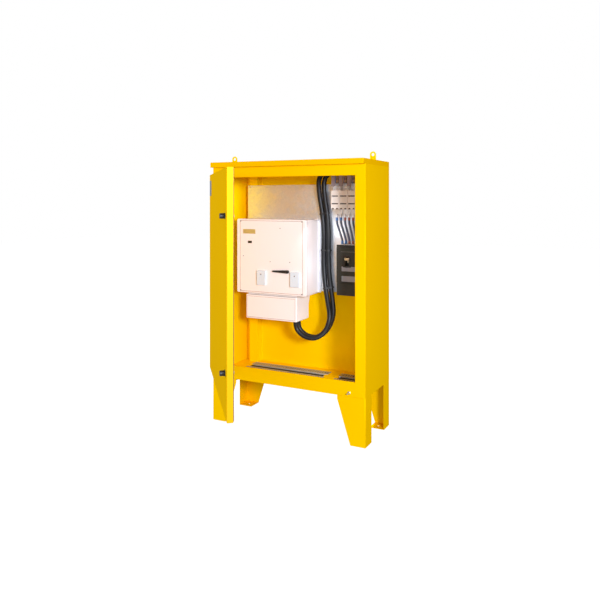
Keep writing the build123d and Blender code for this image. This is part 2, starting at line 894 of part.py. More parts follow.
def lock_housing(z):
    """The lock's collar, tapered barrel and threaded sleeve, bored for the core."""
    with BuildPart() as housing:
        with BuildSketch(on_door(door_face)):
            with Locations((lock_x, z)):
                RectangleRounded(2 * lock_collar_radius, 2 * lock_collar_radius, lock_corner)
        extrude(amount=lock_collar_depth)
        with BuildSketch(on_door(door_face - lock_collar_depth)):
            with Locations((lock_x, z)):
                Circle(lock_barrel_radius)
        extrude(amount=lock_projection - lock_collar_depth, taper=lock_taper)
        fillet(housing.faces().sort_by(outward)[-1].edges(), radius=lock_barrel_edge)
        with BuildSketch(on_door(door_face)):
            with Locations((lock_x, z)):
                Circle(lock_sleeve_radius)
        extrude(amount=-lock_sleeve_length)
        with BuildSketch(on_door(door_face - lock_projection)):
            with Locations((lock_x, z)):
                Circle(lock_core_radius + lock_fit)
        extrude(amount=-(lock_projection + lock_sleeve_length), mode=Mode.SUBTRACT)
    return housing


def lock_insert(z):
    """The turning core: a keyed round end, a round shank and a square end for the cam."""
    with BuildPart() as insert:
        with BuildSketch(on_door(core_front)):
            with Locations((lock_x, z)):
                Circle(lock_core_radius)
        extrude(amount=-(sleeve_end - core_front))
        with BuildSketch(on_door(core_front)):
            with Locations((lock_x, z)):
                RegularPolygon(lock_key_radius, 3)
        extrude(amount=-lock_key_depth, mode=Mode.SUBTRACT)
        with BuildSketch(on_door(sleeve_end)):
            with Locations((lock_x, z)):
                Circle(lock_shoulder_radius)
        extrude(amount=-(cam_front - sleeve_end))
        with BuildSketch(on_door(cam_front)):
            with Locations((lock_x, z)):
                Rectangle(lock_square, lock_square)
        extrude(amount=-cam_thickness)
        with BuildSketch(on_door(cam_front + cam_thickness)):
            with Locations((lock_x, z)):
                RegularPolygon(cam_nut_flats / 2, 6, major_radius=False)
        extrude(amount=-cam_nut_height)
    return insert


def lock_cam(z):
    """The flat steel cam, pointing up when the lock is open."""
    with BuildPart() as cam:
        with BuildSketch(on_door(cam_front)):
            with Locations((lock_x, z + (cam_length - cam_width) / 2)):
                SlotOverall(cam_length, cam_width, rotation=90)
            with Locations((lock_x, z)):
                Rectangle(lock_square + 2 * lock_fit, lock_square + 2 * lock_fit, mode=Mode.SUBTRACT)
        extrude(amount=-cam_thickness)
    return cam


with BuildPart() as lock_nuts:
    with BuildSketch(on_door(door_face + sheet)):
        with Locations(*[(lock_x, z) for z in lock_levels]):
            RegularPolygon(lock_nut_width / 2, 6, major_radius=False)
            Circle(lock_sleeve_radius + lock_fit, mode=Mode.SUBTRACT)
    extrude(amount=-lock_nut_depth)

# Galvanised bracket behind the metering box.
with BuildPart() as meter_bracket:
    with BuildSketch(wall(plate_front)):
        bracket_x = (box_left + bracket_sides[0], box_right + bracket_sides[1])
        bracket_z = (box_bottom + bracket_ends[0], box_top + bracket_ends[1])
        with Locations((sum(bracket_x) / 2, sum(bracket_z) / 2)):
            Rectangle(bracket_x[1] - bracket_x[0], bracket_z[1] - bracket_z[0])
    extrude(amount=bracket_depth)
    fillet(meter_bracket.edges().filter_by(Axis.Y), radius=bend_radius)
    offset(amount=-sheet, openings=meter_bracket.faces().sort_by(Axis.Y)[-1])

# Metering box: moulded base with a neck to the terminal cover below.
box_middle = ((box_left + box_right) / 2, (box_bottom + box_top) / 2)
lid_back = box_front + lid_depth
with BuildPart() as meter_box_base:
    with BuildSketch(wall(box_rear)):
        with Locations(box_middle):
            RectangleRounded(box_width, box_height, box_corner)
    extrude(amount=box_rear - lid_back)
    with BuildSketch(wall(lid_back)):
        with Locations(box_middle):
            RectangleRounded(box_width - 2 * box_wall, box_height - 2 * box_wall, box_corner - box_wall)
    extrude(amount=-(box_rear - lid_back - box_wall), mode=Mode.SUBTRACT)
    with BuildSketch(Plane.XY.offset(box_bottom + neck_gap)):
        neck_front = lid_back + neck_gap
        neck_rear = terminal_rear - neck_inset
        with Locations(((terminal_left + terminal_right) / 2, (neck_front + neck_rear) / 2)):
            neck_width = terminal_right - terminal_left - 2 * neck_inset
            RectangleRounded(neck_width, neck_rear - neck_front, neck_corner)
    extrude(amount=-(neck_height + neck_gap))

# Lid with a raised rim line, a sight window opening and a bore for the switch spindle.
window_place = (box_left + window_inset, box_top - window_drop)
switch_x = box_right - switch_inset
switch_z = box_bottom + switch_rise
with BuildPart() as meter_box_lid:
    with BuildSketch(wall(lid_back)):
        with Locations(box_middle):
            RectangleRounded(box_width, box_height, box_corner)
    extrude(amount=lid_depth)
    fillet(meter_box_lid.faces().sort_by(Axis.Y)[0].edges(), radius=lid_edge)
    with BuildSketch(wall(lid_back)):
        with Locations(box_middle):
            RectangleRounded(box_width - 2 * box_wall, box_height - 2 * box_wall, box_corner - box_wall)
    extrude(amount=lid_depth - box_wall, mode=Mode.SUBTRACT)
    with BuildSketch(wall(box_front)):
        with Locations(box_middle):
            RectangleRounded(box_width - 2 * lid_rim, box_height - 2 * lid_rim, lid_groove_corner)
            RectangleRounded(
                box_width - 2 * lid_rim - 2 * lid_groove,
                box_height - 2 * lid_rim - 2 * lid_groove,
                lid_groove_corner - lid_groove,
                mode=Mode.SUBTRACT,
            )
    extrude(amount=-lid_groove_depth, mode=Mode.SUBTRACT)
    with BuildSketch(wall(box_front)):
        with Locations(window_place):
            RectangleRounded(window_width, window_height, window_corner)
        with Locations((switch_x, switch_z)):
            Circle(switch_spindle_radius + nut_fit)
    extrude(amount=-box_wall, mode=Mode.SUBTRACT)

with BuildPart() as sight_window:
    with BuildSketch(wall(box_front + box_wall)):
        with Locations(window_place):
            flange_size = (window_width + 2 * window_frame, window_height + 2 * window_frame)
            RectangleRounded(*flange_size, window_corner)
    extrude(amount=-window_flange)
    with BuildSketch(wall(box_front + box_wall)):
        with Locations(window_place):
            pane_size = (window_width - 2 * window_play, window_height - 2 * window_play)
            RectangleRounded(*pane_size, window_corner)
    extrude(amount=box_wall - window_recess)

with BuildPart() as meter_label:
    with BuildSketch(wall(box_front)):
        with Locations((box_left + meter_label_inset, box_top - meter_label_drop)):
            RectangleRounded(meter_label_width, meter_label_height, meter_label_corner)
    extrude(amount=meter_label_thickness)

seal_block_z = box_bottom + seal_block_rise
seal_block_x = (box_left + seal_block_insets[0], box_right - seal_block_insets[1])
with BuildPart() as seal_blocks:
    for x in seal_block_x:
        with BuildSketch(wall(box_front)):
            with Locations((x, seal_block_z)):
                RectangleRounded(seal_block_width, seal_block_height, seal_block_corner)
        extrude(amount=seal_block_depth, taper=seal_block_taper)
    fillet(seal_blocks.faces().group_by(Axis.Y)[0].edges(), radius=seal_block_edge)
    with BuildSketch(wall(box_front - seal_block_depth)):
        with Locations(*[(x, seal_block_z + seal_block_height / 4) for x in seal_block_x]):
            SlotOverall(seal_slot[0], seal_slot[1])
    extrude(amount=-seal_slot[2], mode=Mode.SUBTRACT)

# Switch lever: a tapered handle on a spindle through the lid.
switch_back = box_front - switch_standoff
with BuildPart() as switch_lever:
    with BuildSketch(wall(switch_back)):
        tip_x = switch_x - switch_length + switch_tip / 2
        with BuildLine():
            Line((switch_x, switch_z + switch_root / 2), (tip_x, switch_z + switch_tip / 2))
            tip_end = (tip_x - switch_tip / 2, switch_z)
            ThreePointArc((tip_x, switch_z + switch_tip / 2), tip_end, (tip_x, switch_z - switch_tip / 2))
            Line((tip_x, switch_z - switch_tip / 2), (switch_x, switch_z - switch_root / 2))
            root_end = (switch_x + switch_root / 2, switch_z)
            root_start = (switch_x, switch_z - switch_root / 2)
            ThreePointArc(root_start, root_end, (switch_x, switch_z + switch_root / 2))
        make_face()
    extrude(amount=switch_depth)
    fillet(switch_lever.faces().sort_by(Axis.Y)[0].edges(), radius=switch_edge)
    with BuildSketch(wall(switch_back)):
        with Locations((switch_x, switch_z)):
            Circle(switch_spindle_radius)
    extrude(amount=-switch_spindle_length)

with BuildPart() as lid_screws:
    corner_x = (box_left + lid_corner_inset, box_right - lid_corner_inset)
    corner_z = (box_bottom + lid_corner_drop, box_top - lid_corner_drop)
    corner_points = [(x, z) for x in corner_x for z in corner_z]
    with BuildSketch(wall(box_front)):
        with Locations(*corner_points):
            Circle(lid_screw_radius)
        with Locations(*[(box_left + x, box_bottom + z) for x, z in small_screw_places]):
            Circle(small_screw_radius)
    extrude(amount=lid_screw_head)
    fillet(lid_screws.edges().group_by(Axis.Y)[0], radius=lid_screw_edge)

# Routes of the two conduits from the terminal cover to the cabinet's roof. Their points are given
# from the middle of the mounting plate's lower edge.
conduit_front_points = (
    (-30, -139, -207),
    (-7, -135, -242),
    (36, -125.5, -270),
    (100, -110.5, -273),
    (155, -86.5, -222),
    (172, -68.5, -140),
    (139, -44.5, -40),
    (111, -25.5, 95),
    (105, -22.5, 225),
    (109, -22.5, 355),
    (99, -22.5, 477),
    (79, -29.5, 600),
    (78, -41.5, 693),
    (131, -53.5, 746),
    (212, -53.5, 746),
)
conduit_rear_points = (
    (-28, -107, -207),
    (-7, -102.5, -242),
    (35, -93, -270),
    (97, -78, -273),
    (152, -54.5, -222),
    (182, -34.5, -140),
    (170, -25.5, -40),
    (143.6, -22.5, 95),
    (137.6, -21.5, 225),
    (141.6, -22.5, 355),
    (131.6, -22.5, 477),
    (112, -23.5, 600),
    (111, -20.5, 693),
    (165, -18.5, 746),
    (245, -18.5, 746),
)


def conduit_route(points):
    """The whole route in the cabinet's frame, which starts at the floor of the conduit's socket."""
    placed = [(x, plate_front + y, plate_bottom + z) for x, y, z in points]
    socket_floor = terminal_bottom + terminal_wall + conduit_socket
    return [(placed[0][0], placed[0][1], socket_floor)] + placed


conduit_front_route = conduit_route(conduit_front_points)
conduit_rear_route = conduit_route(conduit_rear_points)

# Terminal cover: a moulded trough with a heel at the back and two conduit sockets.
socket_points = [(route[0][0], route[0][1]) for route in (conduit_front_route, conduit_rear_route)]
with BuildPart() as terminal_cover:
    side_view = [
        (box_front, terminal_top),
        (box_front, terminal_bottom),
        (terminal_rear, terminal_bottom),
        (terminal_rear, terminal_bottom + terminal_heel_rise),
        (terminal_rear + terminal_heel_reach, terminal_top),
    ]
    extrude(
        polygon(Plane.YZ.offset(terminal_left), side_view), amount=terminal_right - terminal_left
    )
    fillet(terminal_cover.faces().sort_by(Axis.Y)[0].edges().filter_by(Axis.Z), radius=terminal_corner)
    fillet(terminal_cover.edges().filter_by(Axis.X).sort_by(Axis.Z)[:2], radius=terminal_edge)
    offset(amount=-terminal_wall, openings=terminal_cover.faces().sort_by(Axis.Z)[-1])
    with BuildSketch(wall(box_front)):
        panel_z = (terminal_bottom + terminal_top) / 2 + terminal_panel_rise
        panel_width = terminal_right - terminal_left - 2 * terminal_panel_inset[0]
        panel_height = terminal_top - terminal_bottom - 2 * terminal_panel_inset[1]
        with Locations(((terminal_left + terminal_right) / 2, panel_z)):
            RectangleRounded(panel_width, panel_height, terminal_panel_corner)
    extrude(amount=terminal_panel)
    with BuildSketch(Plane.XY.offset(terminal_bottom + terminal_wall)):
        boss_x = (socket_points[0][0] + socket_points[1][0]) / 2
        boss_y = (socket_points[0][1] + socket_points[1][1]) / 2
        boss_size = (2 * (conduit_radius + conduit_boss), 4 * conduit_radius + 2 * conduit_boss)
        with Locations((boss_x, boss_y)):
            RectangleRounded(*boss_size, terminal_corner)
    extrude(amount=conduit_socket + conduit_boss_floor)
    with BuildSketch(Plane.XY.offset(terminal_bottom)):
        with Locations(*socket_points):
            Circle(conduit_radius + conduit_fit)
    extrude(amount=terminal_wall + conduit_socket, mode=Mode.SUBTRACT)


def corner_radii(route):
    """Each corner's arc is as large as its two runs allow."""
    points = [Vector(*point) for point in route]
    radii = []
    for before, corner, after in zip(points, points[1:], points[2:]):
        turn = (corner - before).get_angle(after - corner)
        shorter = min((corner - before).length, (after - corner).length)
        radii.append(arc_share * shorter / tan(radians(turn / 2)))
    return radii


def tube(route, radius, name):
    """A round tube along straight runs joined by tangent arcs, and its centre line."""
    radii = corner_radii(route)
    print(name, "bend radii", [round(value) for value in radii])
    with BuildPart() as piece:
        with BuildLine():
            centre = FilletPolyline(*route, radius=radii)
        with BuildSketch(Plane(origin=centre @ 0, z_dir=centre % 0)):
            Circle(radius)
        sweep()
    expected = pi * radius**2 * centre.length
    print(name, "length", round(centre.length), "volume ratio", round(piece.part.volume / expected, 4))
    return piece, centre


conduit_front, front_line = tube(conduit_front_route, conduit_radius, "conduit_front")
conduit_rear, rear_line = tube(conduit_rear_route, conduit_radius, "conduit_rear")


def at_height(line, z):
    """Where a conduit crosses the height z on its way up the mounting plate."""
    low, high = climb_from, climb_to
    for _ in range(climb_halvings):
        middle = (low + high) / 2
        if (line @ middle).Z < z:
            low = middle
        else:
            high = middle
    return line @ low, line % low


# Ties round both conduits, each on a saddle that is screwed to the mounting plate.
with BuildPart() as conduit_ties:
    for rise in tie_rises:
        level = plate_bottom + rise
        front_point, front_way = at_height(front_line, level)
        rear_point, rear_way = at_height(rear_line, level)
        middle = (front_point + rear_point) * 0.5
        spacing = (rear_point - front_point).length
        tie_plane = Plane(origin=middle, x_dir=rear_point - front_point, z_dir=front_way + rear_way)
        with BuildSketch(tie_plane.offset(-tie_height / 2)):
            inside = conduit_radius + tie_clearance
            SlotCenterToCenter(spacing, 2 * (inside + tie_thickness))
            SlotCenterToCenter(spacing, 2 * inside, mode=Mode.SUBTRACT)
        extrude(amount=tie_height)
        saddle_start = rear_point.Y + inside + tie_thickness / 2
        with Locations((rear_point.X, (saddle_start + plate_front) / 2, level)):
            Box(saddle_width, plate_front - saddle_start, saddle_height)

# End bushings and the clamp that hangs both conduits from the top sheet.
front_end = conduit_front_route[-1]
rear_end = conduit_rear_route[-1]
with BuildPart() as conduit_bushings:
    for end in (front_end, rear_end):
        with BuildSketch(Plane.YZ.offset(end[0])):
            with Locations((end[1], end[2])):
                Circle(conduit_radius + bushing_collar)
        extrude(amount=bushing_wall)
    clamp_x = front_end[0] - clamp_width - clamp_end_gap
    with BuildSketch(Plane.YZ.offset(clamp_x)):
        clamp_y = (front_end[1] + rear_end[1]) / 2
        clamp_top = body_top - sheet
        clamp_length = rear_end[1] - front_end[1] + 2 * (conduit_radius + clamp_wall)
        with Locations((clamp_y, clamp_top - clamp_depth / 2)):
            Rectangle(clamp_length, clamp_depth)
        with Locations((front_end[1], front_end[2]), (rear_end[1], rear_end[2])):
            Circle(conduit_radius + tie_clearance, mode=Mode.SUBTRACT)
    extrude(amount=clamp_width)

# Fuse base: a beige moulded block with a foot below, a wing above and barriers between its poles.
with BuildPart() as fuse_base:
    fuse_middle_z = (fuse_bottom + fuse_top) / 2
    fuse_width = fuse_poles * fuse_pitch
    with BuildSketch(wall(plate_front)):
        with Locations((fuse_center_x, fuse_middle_z)):
            Rectangle(fuse_width, fuse_height + 2 * fuse_wing)
    extrude(amount=fuse_foot_depth)
    with BuildSketch(wall(plate_front)):
        with Locations((fuse_center_x, fuse_middle_z + fuse_wing / 2)):
            Rectangle(fuse_width, fuse_height + fuse_wing)
    extrude(amount=fuse_wing_depth)
    with BuildSketch(wall(plate_front)):
        with Locations((fuse_center_x, fuse_middle_z)):
            Rectangle(fuse_width, fuse_height)
    extrude(amount=fuse_block_depth)
    with BuildSketch(wall(plate_front)):
        for i in range(fuse_poles + 1):
            barrier_x = fuse_center_x + (fuse_width - barrier_thickness) * (i / fuse_poles - 1 / 2)
            with Locations((barrier_x, fuse_middle_z + fuse_wing / 2)):
                Rectangle(barrier_thickness, fuse_height + fuse_wing)
    extrude(amount=fuse_block_depth)

# Fuse covers, one for each pole, with two finger slots.
fuse_cover_width = fuse_pitch - 2 * fuse_cover_gap
with BuildPart() as fuse_covers:
    for x in fuse_pole_x:
        with BuildSketch(wall(fuse_block_front)):
            with Locations((x, fuse_middle_z)):
                RectangleRounded(fuse_cover_width, fuse_height, fuse_cover_corner)
        extrude(amount=fuse_depth - fuse_block_depth)
    fillet(fuse_covers.faces().group_by(Axis.Y)[0].edges(), radius=fuse_cover_edge)
    with BuildSketch(wall(fuse_front)):
        for x in fuse_pole_x:
            with Locations((x, fuse_middle_z)):
                with GridLocations(1, 2 * fuse_slot_offset, 1, 2):
                    RectangleRounded(fuse_slot_width, fuse_slot_height, fuse_slot_corner)
    extrude(amount=-fuse_slot_depth, mode=Mode.SUBTRACT)

# Contact bars: above each pole a narrow one with its bolt, below it a wide one for two cables.
lug_barrel_radius = cable_radius + lug_barrel_wall
lug_palm_width = 2 * (fuse_cable_offset + lug_barrel_radius)
with BuildPart() as fuse_contacts:
    with BuildSketch(wall(fuse_wing_front)):
        for x in fuse_pole_x:
            with Locations((x, fuse_top + contact_upper / 2)):
                Rectangle(contact_width, contact_upper)
    extrude(amount=contact_thickness)
    with BuildSketch(wall(fuse_wing_front - contact_thickness)):
        for x in fuse_pole_x:
            with Locations((x, fuse_top + contact_upper / 2)):
                RegularPolygon(bolt_flats / 2, 6, major_radius=False)
    extrude(amount=bolt_head)
    with BuildSketch(wall(fuse_foot_front)):
        for x in fuse_pole_x:
            with Locations((x, fuse_bottom - contact_lower / 2)):
                Rectangle(lug_palm_width, contact_lower)
    extrude(amount=contact_thickness)

with BuildPart() as inlet_boots:
    with BuildSketch(Plane.XY.offset(fuse_top + fuse_wing)):
        for x in fuse_pole_x:
            with Locations((x, fuse_wing_front - boot_offset)):
                Circle(boot_radius)
                Circle(boot_bore, mode=Mode.SUBTRACT)
    extrude(amount=boot_height)

# Double lugs bolted to the lower contacts.
contact_face = fuse_foot_front - contact_thickness
lug_bottom = fuse_bottom - contact_lower - lug_palm_drop
cable_y = contact_face - lug_barrel_radius
cable_entry_y = plate_front - cable_entry_depth
cable_sides = (-1, 1)
with BuildPart() as cable_lugs:
    for x in fuse_pole_x:
        with BuildSketch(wall(contact_face)):
            with Locations((x, lug_bottom + contact_lower / 2)):
                RectangleRounded(lug_palm_width, contact_lower, lug_palm_corner)
        extrude(amount=lug_palm)
        with BuildSketch(wall(contact_face - lug_palm)):
            with Locations((x, fuse_bottom - contact_lower / 2 + lug_bolt_rise)):
                RegularPolygon(bolt_flats / 2, 6, major_radius=False)
        extrude(amount=bolt_head)
        with BuildSketch(Plane.XY.offset(lug_bottom + lug_barrel_overlap)):
            with Locations(*[(x + side * fuse_cable_offset, cable_y) for side in cable_sides]):
                Circle(lug_barrel_radius)
        extrude(amount=-lug_barrel_length)

# Single-core cables, two for each pole, from the lugs down into the breaker.
cable_top = lug_bottom + lug_barrel_overlap - lug_barrel_length
with BuildPart() as power_cables:
    for fuse_x, breaker_x in zip(fuse_pole_x, breaker_pole_x):
        for side in cable_sides:
            start_x = fuse_x + side * fuse_cable_offset
            end_x = breaker_x + side * breaker_cable_offset
            route = [
                (start_x, cable_y, cable_top),
                (start_x, cable_y, cable_top - cable_straight),
                (end_x, cable_entry_y, breaker_top + cable_entry_rise),
                (end_x, cable_entry_y, breaker_top),
            ]
            with BuildLine():
                centre = FilletPolyline(*route, radius=corner_radii(route))
            with BuildSketch(Plane(origin=centre @ 0, z_dir=centre % 0)):
                Circle(cable_radius)
            sweep(path=centre)

with BuildPart() as cable_sleeves:
    with BuildSketch(Plane.XY.offset(cable_top)):
        for x in fuse_pole_x:
            with Locations(*[(x + side * fuse_cable_offset, cable_y) for side in cable_sides]):
                Circle(cable_radius + sleeve_fit + sleeve_wall)
                Circle(cable_radius + sleeve_fit, mode=Mode.SUBTRACT)
    extrude(amount=-sleeve_length)

# Circuit breaker: moulded case with grooves between its poles.
breaker_cover_height = breaker_cover_top - breaker_cover_bottom
breaker_width = breaker_poles * breaker_pitch
breaker_middle_z = (breaker_bottom + breaker_top) / 2
breaker_cover_z = (breaker_cover_bottom + breaker_cover_top) / 2
toggle_window = 2 * (toggle_reach * sin(radians(toggle_angle)) + toggle_thickness)
with BuildPart() as breaker_case:
    with BuildSketch(wall(plate_front)):
        with Locations((breaker_center_x, breaker_middle_z)):
            RectangleRounded(breaker_width, breaker_height, breaker_corner)
    extrude(amount=breaker_case_depth)
    with BuildSketch(wall(breaker_case_front)):
        for i in range(1, breaker_poles):
            groove_x = breaker_center_x + breaker_pitch * (i - breaker_poles / 2)
            for groove_z in (breaker_bottom + breaker_groove_low, breaker_top - breaker_groove_high):
                with Locations((groove_x, groove_z)):
                    Rectangle(breaker_groove, breaker_groove_height)
    extrude(amount=-breaker_groove_depth, mode=Mode.SUBTRACT)
    with BuildSketch(Plane.YZ.offset(toggle_x - toggle_width / 2 - toggle_clearance)):
        with Locations((toggle_pivot_y, toggle_z)):
            Circle(toggle_radius + toggle_clearance)
        with BuildLine():
            Polyline(
                (toggle_pivot_y, toggle_z - toggle_radius),
                (breaker_case_front - cut_margin, toggle_z - toggle_window / 2),
                (breaker_case_front - cut_margin, toggle_z + toggle_window / 2),
                (toggle_pivot_y, toggle_z + toggle_radius),
                close=True,
            )
        make_face()
    extrude(amount=toggle_width + 2 * toggle_clearance, mode=Mode.SUBTRACT)
    journal_length = toggle_width + 2 * toggle_clearance + 2 * toggle_journal_length
    with BuildSketch(Plane.YZ.offset(toggle_x - journal_length / 2)):
        with Locations((toggle_pivot_y, toggle_z)):
            Circle(toggle_journal + toggle_fit)
    extrude(amount=journal_length, mode=Mode.SUBTRACT)

# Cover with a raised nose and a window for the toggle.
with BuildPart() as breaker_cover:
    with BuildSketch(wall(breaker_case_front)):
        with Locations((breaker_center_x, breaker_cover_z)):
            RectangleRounded(breaker_width, breaker_cover_height, cover_corner)
    extrude(amount=breaker_case_front - breaker_front)
    with BuildSketch(wall(breaker_front)):
        with Locations((breaker_center_x, breaker_cover_z)):
            nose_size = (breaker_width - 2 * nose_side, breaker_cover_height - 2 * nose_end)
            RectangleRounded(*nose_size, breaker_corner)
    extrude(amount=nose_step, taper=nose_taper)
    fillet(breaker_cover.faces().sort_by(Axis.Y)[0].edges(), radius=cover_edge)
    with BuildSketch(wall(breaker_case_front)):
        with Locations((toggle_x, toggle_z)):
            Rectangle(toggle_width + 2 * toggle_clearance, toggle_window)
    extrude(amount=breaker_case_front - breaker_front + nose_step, mode=Mode.SUBTRACT)

# Covers over the breaker's terminals, with vents in the upper one.
with BuildPart() as breaker_terminal_covers:
    with BuildSketch(wall(breaker_case_front)):
        with Locations((breaker_center_x, (breaker_bottom + breaker_cover_bottom) / 2)):
            lower_height = breaker_cover_bottom - breaker_bottom - cover_seam
            RectangleRounded(breaker_width, lower_height, cover_corner)
    extrude(amount=breaker_case_front - breaker_front - cover_step)
    fillet(breaker_terminal_covers.faces().sort_by(Axis.Y)[0].edges(), radius=cover_edge)
    with BuildSketch(wall(breaker_case_front)):
        with Locations((breaker_center_x, (breaker_cover_top + breaker_top + cover_seam) / 2)):
            Rectangle(breaker_width, breaker_top - breaker_cover_top - cover_seam)
    extrude(amount=breaker_case_front - breaker_front - cover_step)
    with BuildSketch(wall(breaker_front + cover_step)):
        for x in breaker_pole_x:
            with Locations((x, (breaker_cover_top + breaker_top) / 2)):
                Rectangle(vent_width, vent_height)
    extrude(amount=-vent_depth, mode=Mode.SUBTRACT)

# Toggle lever: a drum on two journals with a paddle, shown switched on.
with BuildPart() as breaker_lever:
    with BuildSketch(Plane.YZ.offset(toggle_x - toggle_width / 2)):
        with Locations((toggle_pivot_y, toggle_z)):
            Circle(toggle_radius)
    extrude(amount=toggle_width)
    paddle_plane = Plane(
        origin=(toggle_x, toggle_pivot_y, toggle_z),
        x_dir=(1, 0, 0),
        z_dir=(0, -cos(radians(toggle_angle)), sin(radians(toggle_angle))),
    )
    with BuildSketch(paddle_plane):
        RectangleRounded(toggle_paddle, toggle_thickness, toggle_corner)
    extrude(amount=toggle_reach, taper=toggle_taper)
    fillet(breaker_lever.faces().sort_by(Axis.Y)[0].edges(), radius=toggle_edge)
    with BuildSketch(Plane.YZ.offset(toggle_x - journal_length / 2 + toggle_clearance)):
        with Locations((toggle_pivot_y, toggle_z)):
            Circle(toggle_journal)
    extrude(amount=journal_length - 2 * toggle_clearance)

write(side_panel_left, "side_panel_left")
write(side_panel_right, "side_panel_right")
write(top_rail, "top_rail")
write(bottom_rail, "bottom_rail")
write(back_panel, "back_panel")
write(floor_panel, "floor_panel")
write(top_sheet, "top_sheet")
write(roof_tray, "roof_tray")
write(lifting_lug_left, "lifting_lug_left")
write(lifting_lug_right, "lifting_lug_right")
write(leg_front_left, "leg_front_left")
write(leg_front_right, "leg_front_right")
write(leg_rear_left, "leg_rear_left")
write(leg_rear_right, "leg_rear_right")
write(leg_bolts, "leg_bolts")
write(upright_left, "upright_left")
write(upright_right, "upright_right")
write(mounting_plate, "mounting_plate")
write(plate_screws, "plate_screws")
write(cable_rails_left, "cable_rails_left")
write(cable_rails_right, "cable_rails_right")
write(earth_stud, "earth_stud")
write(door_panel, "door_panel")
write(door_gasket, "door_gasket")
write(door_stiffeners, "door_stiffeners")
write(door_plate, "door_plate")
write(hinge_brackets, "hinge_brackets")
write(hinge_leaves, "hinge_leaves")
write(hinge_pins, "hinge_pins")
for z, place in zip(lock_levels, ("lower", "upper")):
    write(lock_housing(z), f"lock_housing_{place}")
    write(lock_insert(z), f"lock_insert_{place}")
    write(lock_cam(z), f"lock_cam_{place}")
write(lock_nuts, "lock_nuts")
write(meter_bracket, "meter_bracket")
write(meter_box_base, "meter_box_base")
write(meter_box_lid, "meter_box_lid")
write(sight_window, "sight_window")
write(meter_label, "meter_label")
write(seal_blocks, "seal_blocks")
write(switch_lever, "switch_lever")
write(lid_screws, "lid_screws")
write(terminal_cover, "terminal_cover")
write(conduit_front, "conduit_front")
write(conduit_rear, "conduit_rear")
write(conduit_ties, "conduit_ties")
write(conduit_bushings, "conduit_bushings")
write(fuse_base, "fuse_base")
write(fuse_covers, "fuse_covers")
write(fuse_contacts, "fuse_contacts")
write(inlet_boots, "inlet_boots")
write(cable_lugs, "cable_lugs")
write(power_cables, "power_cables")
write(cable_sleeves, "cable_sleeves")
write(breaker_case, "breaker_case")
write(breaker_cover, "breaker_cover")
write(breaker_terminal_covers, "breaker_terminal_covers")
write(breaker_lever, "breaker_lever")
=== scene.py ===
"""Electrical connection cabinet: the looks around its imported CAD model, in metres."""

import math
import random

import bmesh
import bpy
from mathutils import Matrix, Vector


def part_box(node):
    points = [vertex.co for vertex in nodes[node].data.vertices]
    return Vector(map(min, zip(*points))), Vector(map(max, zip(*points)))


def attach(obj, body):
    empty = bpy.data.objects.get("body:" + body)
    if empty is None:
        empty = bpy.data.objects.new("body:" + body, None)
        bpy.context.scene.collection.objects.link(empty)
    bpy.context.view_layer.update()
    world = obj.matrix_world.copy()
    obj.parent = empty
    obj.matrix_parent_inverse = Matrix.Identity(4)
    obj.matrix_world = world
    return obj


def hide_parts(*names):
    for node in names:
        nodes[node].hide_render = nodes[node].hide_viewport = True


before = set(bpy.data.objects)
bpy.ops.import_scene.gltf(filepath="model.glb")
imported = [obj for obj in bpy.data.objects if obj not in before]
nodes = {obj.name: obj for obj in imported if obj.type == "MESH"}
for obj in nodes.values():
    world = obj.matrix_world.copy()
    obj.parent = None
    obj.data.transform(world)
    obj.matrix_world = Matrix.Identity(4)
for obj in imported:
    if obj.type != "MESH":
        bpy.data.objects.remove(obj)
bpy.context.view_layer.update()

# Cabinet body, legs, roof, lugs and door: folded and welded sheet steel, powder coated in yellow
# after welding, so the coat rounds every cut edge and has a fine orange-peel surface. Light and
# shade are painted into its colour: paler yellow inside for the light there, darker yellow on the
# roof and along the door's free edge for painted shade.
YELLOW_PAINTED = (
    "side_panel_left side_panel_right top_rail bottom_rail back_panel floor_panel top_sheet roof_tray "
    "lifting_lug_left lifting_lug_right leg_front_left leg_front_right leg_rear_left leg_rear_right "
    "upright_left upright_right door_panel door_stiffeners"
).split()
COAT_EDGE = 0.0006
YELLOW = (0.95, 0.545, 0.0, 1)
YELLOW_DEEP = (0.91, 0.50, 0.0, 1)
YELLOW_INSIDE_PAINTED_LIGHT = (0.94, 0.60, 0.0, 1)
YELLOW_EDGE = (1.0, 0.8, 0.1, 1)
YELLOW_ROOF_PAINTED_SHADE = (0.86, 0.44, 0.0, 1)
YELLOW_EDGE_PAINTED_SHADE = (0.93, 0.43, 0.008, 1)
ROOF_PAINTED_SHADE_SHARE = 0.8
INSIDE_FROM_SIDE = 0.0015
INSIDE_FROM_FRONT = 0.003
INSIDE_BELOW_FLOOR = 0.001
DOOR_ALONG = (0.637, -0.770)
EDGE_PAINTED_SHADE_WIDTH = 0.0012


class Tone:
    """A socket of a finish being made. Sums on it add Math nodes."""

    def __init__(self, finish, socket):
        self.finish, self.socket = finish, socket

    def sum(self, operation, *values):
        return self.finish.node("ShaderNodeMath", {"operation": operation}, dict(enumerate(values)))

    def __add__(self, other):
        return self.sum("ADD", self, other)

    def __radd__(self, other):
        return self.sum("ADD", other, self)

    def __sub__(self, other):
        return self.sum("SUBTRACT", self, other)

    def __rsub__(self, other):
        return self.sum("SUBTRACT", other, self)

    def __mul__(self, other):
        return self.sum("MULTIPLY", self, other)

    def __rmul__(self, other):
        return self.sum("MULTIPLY", other, self)


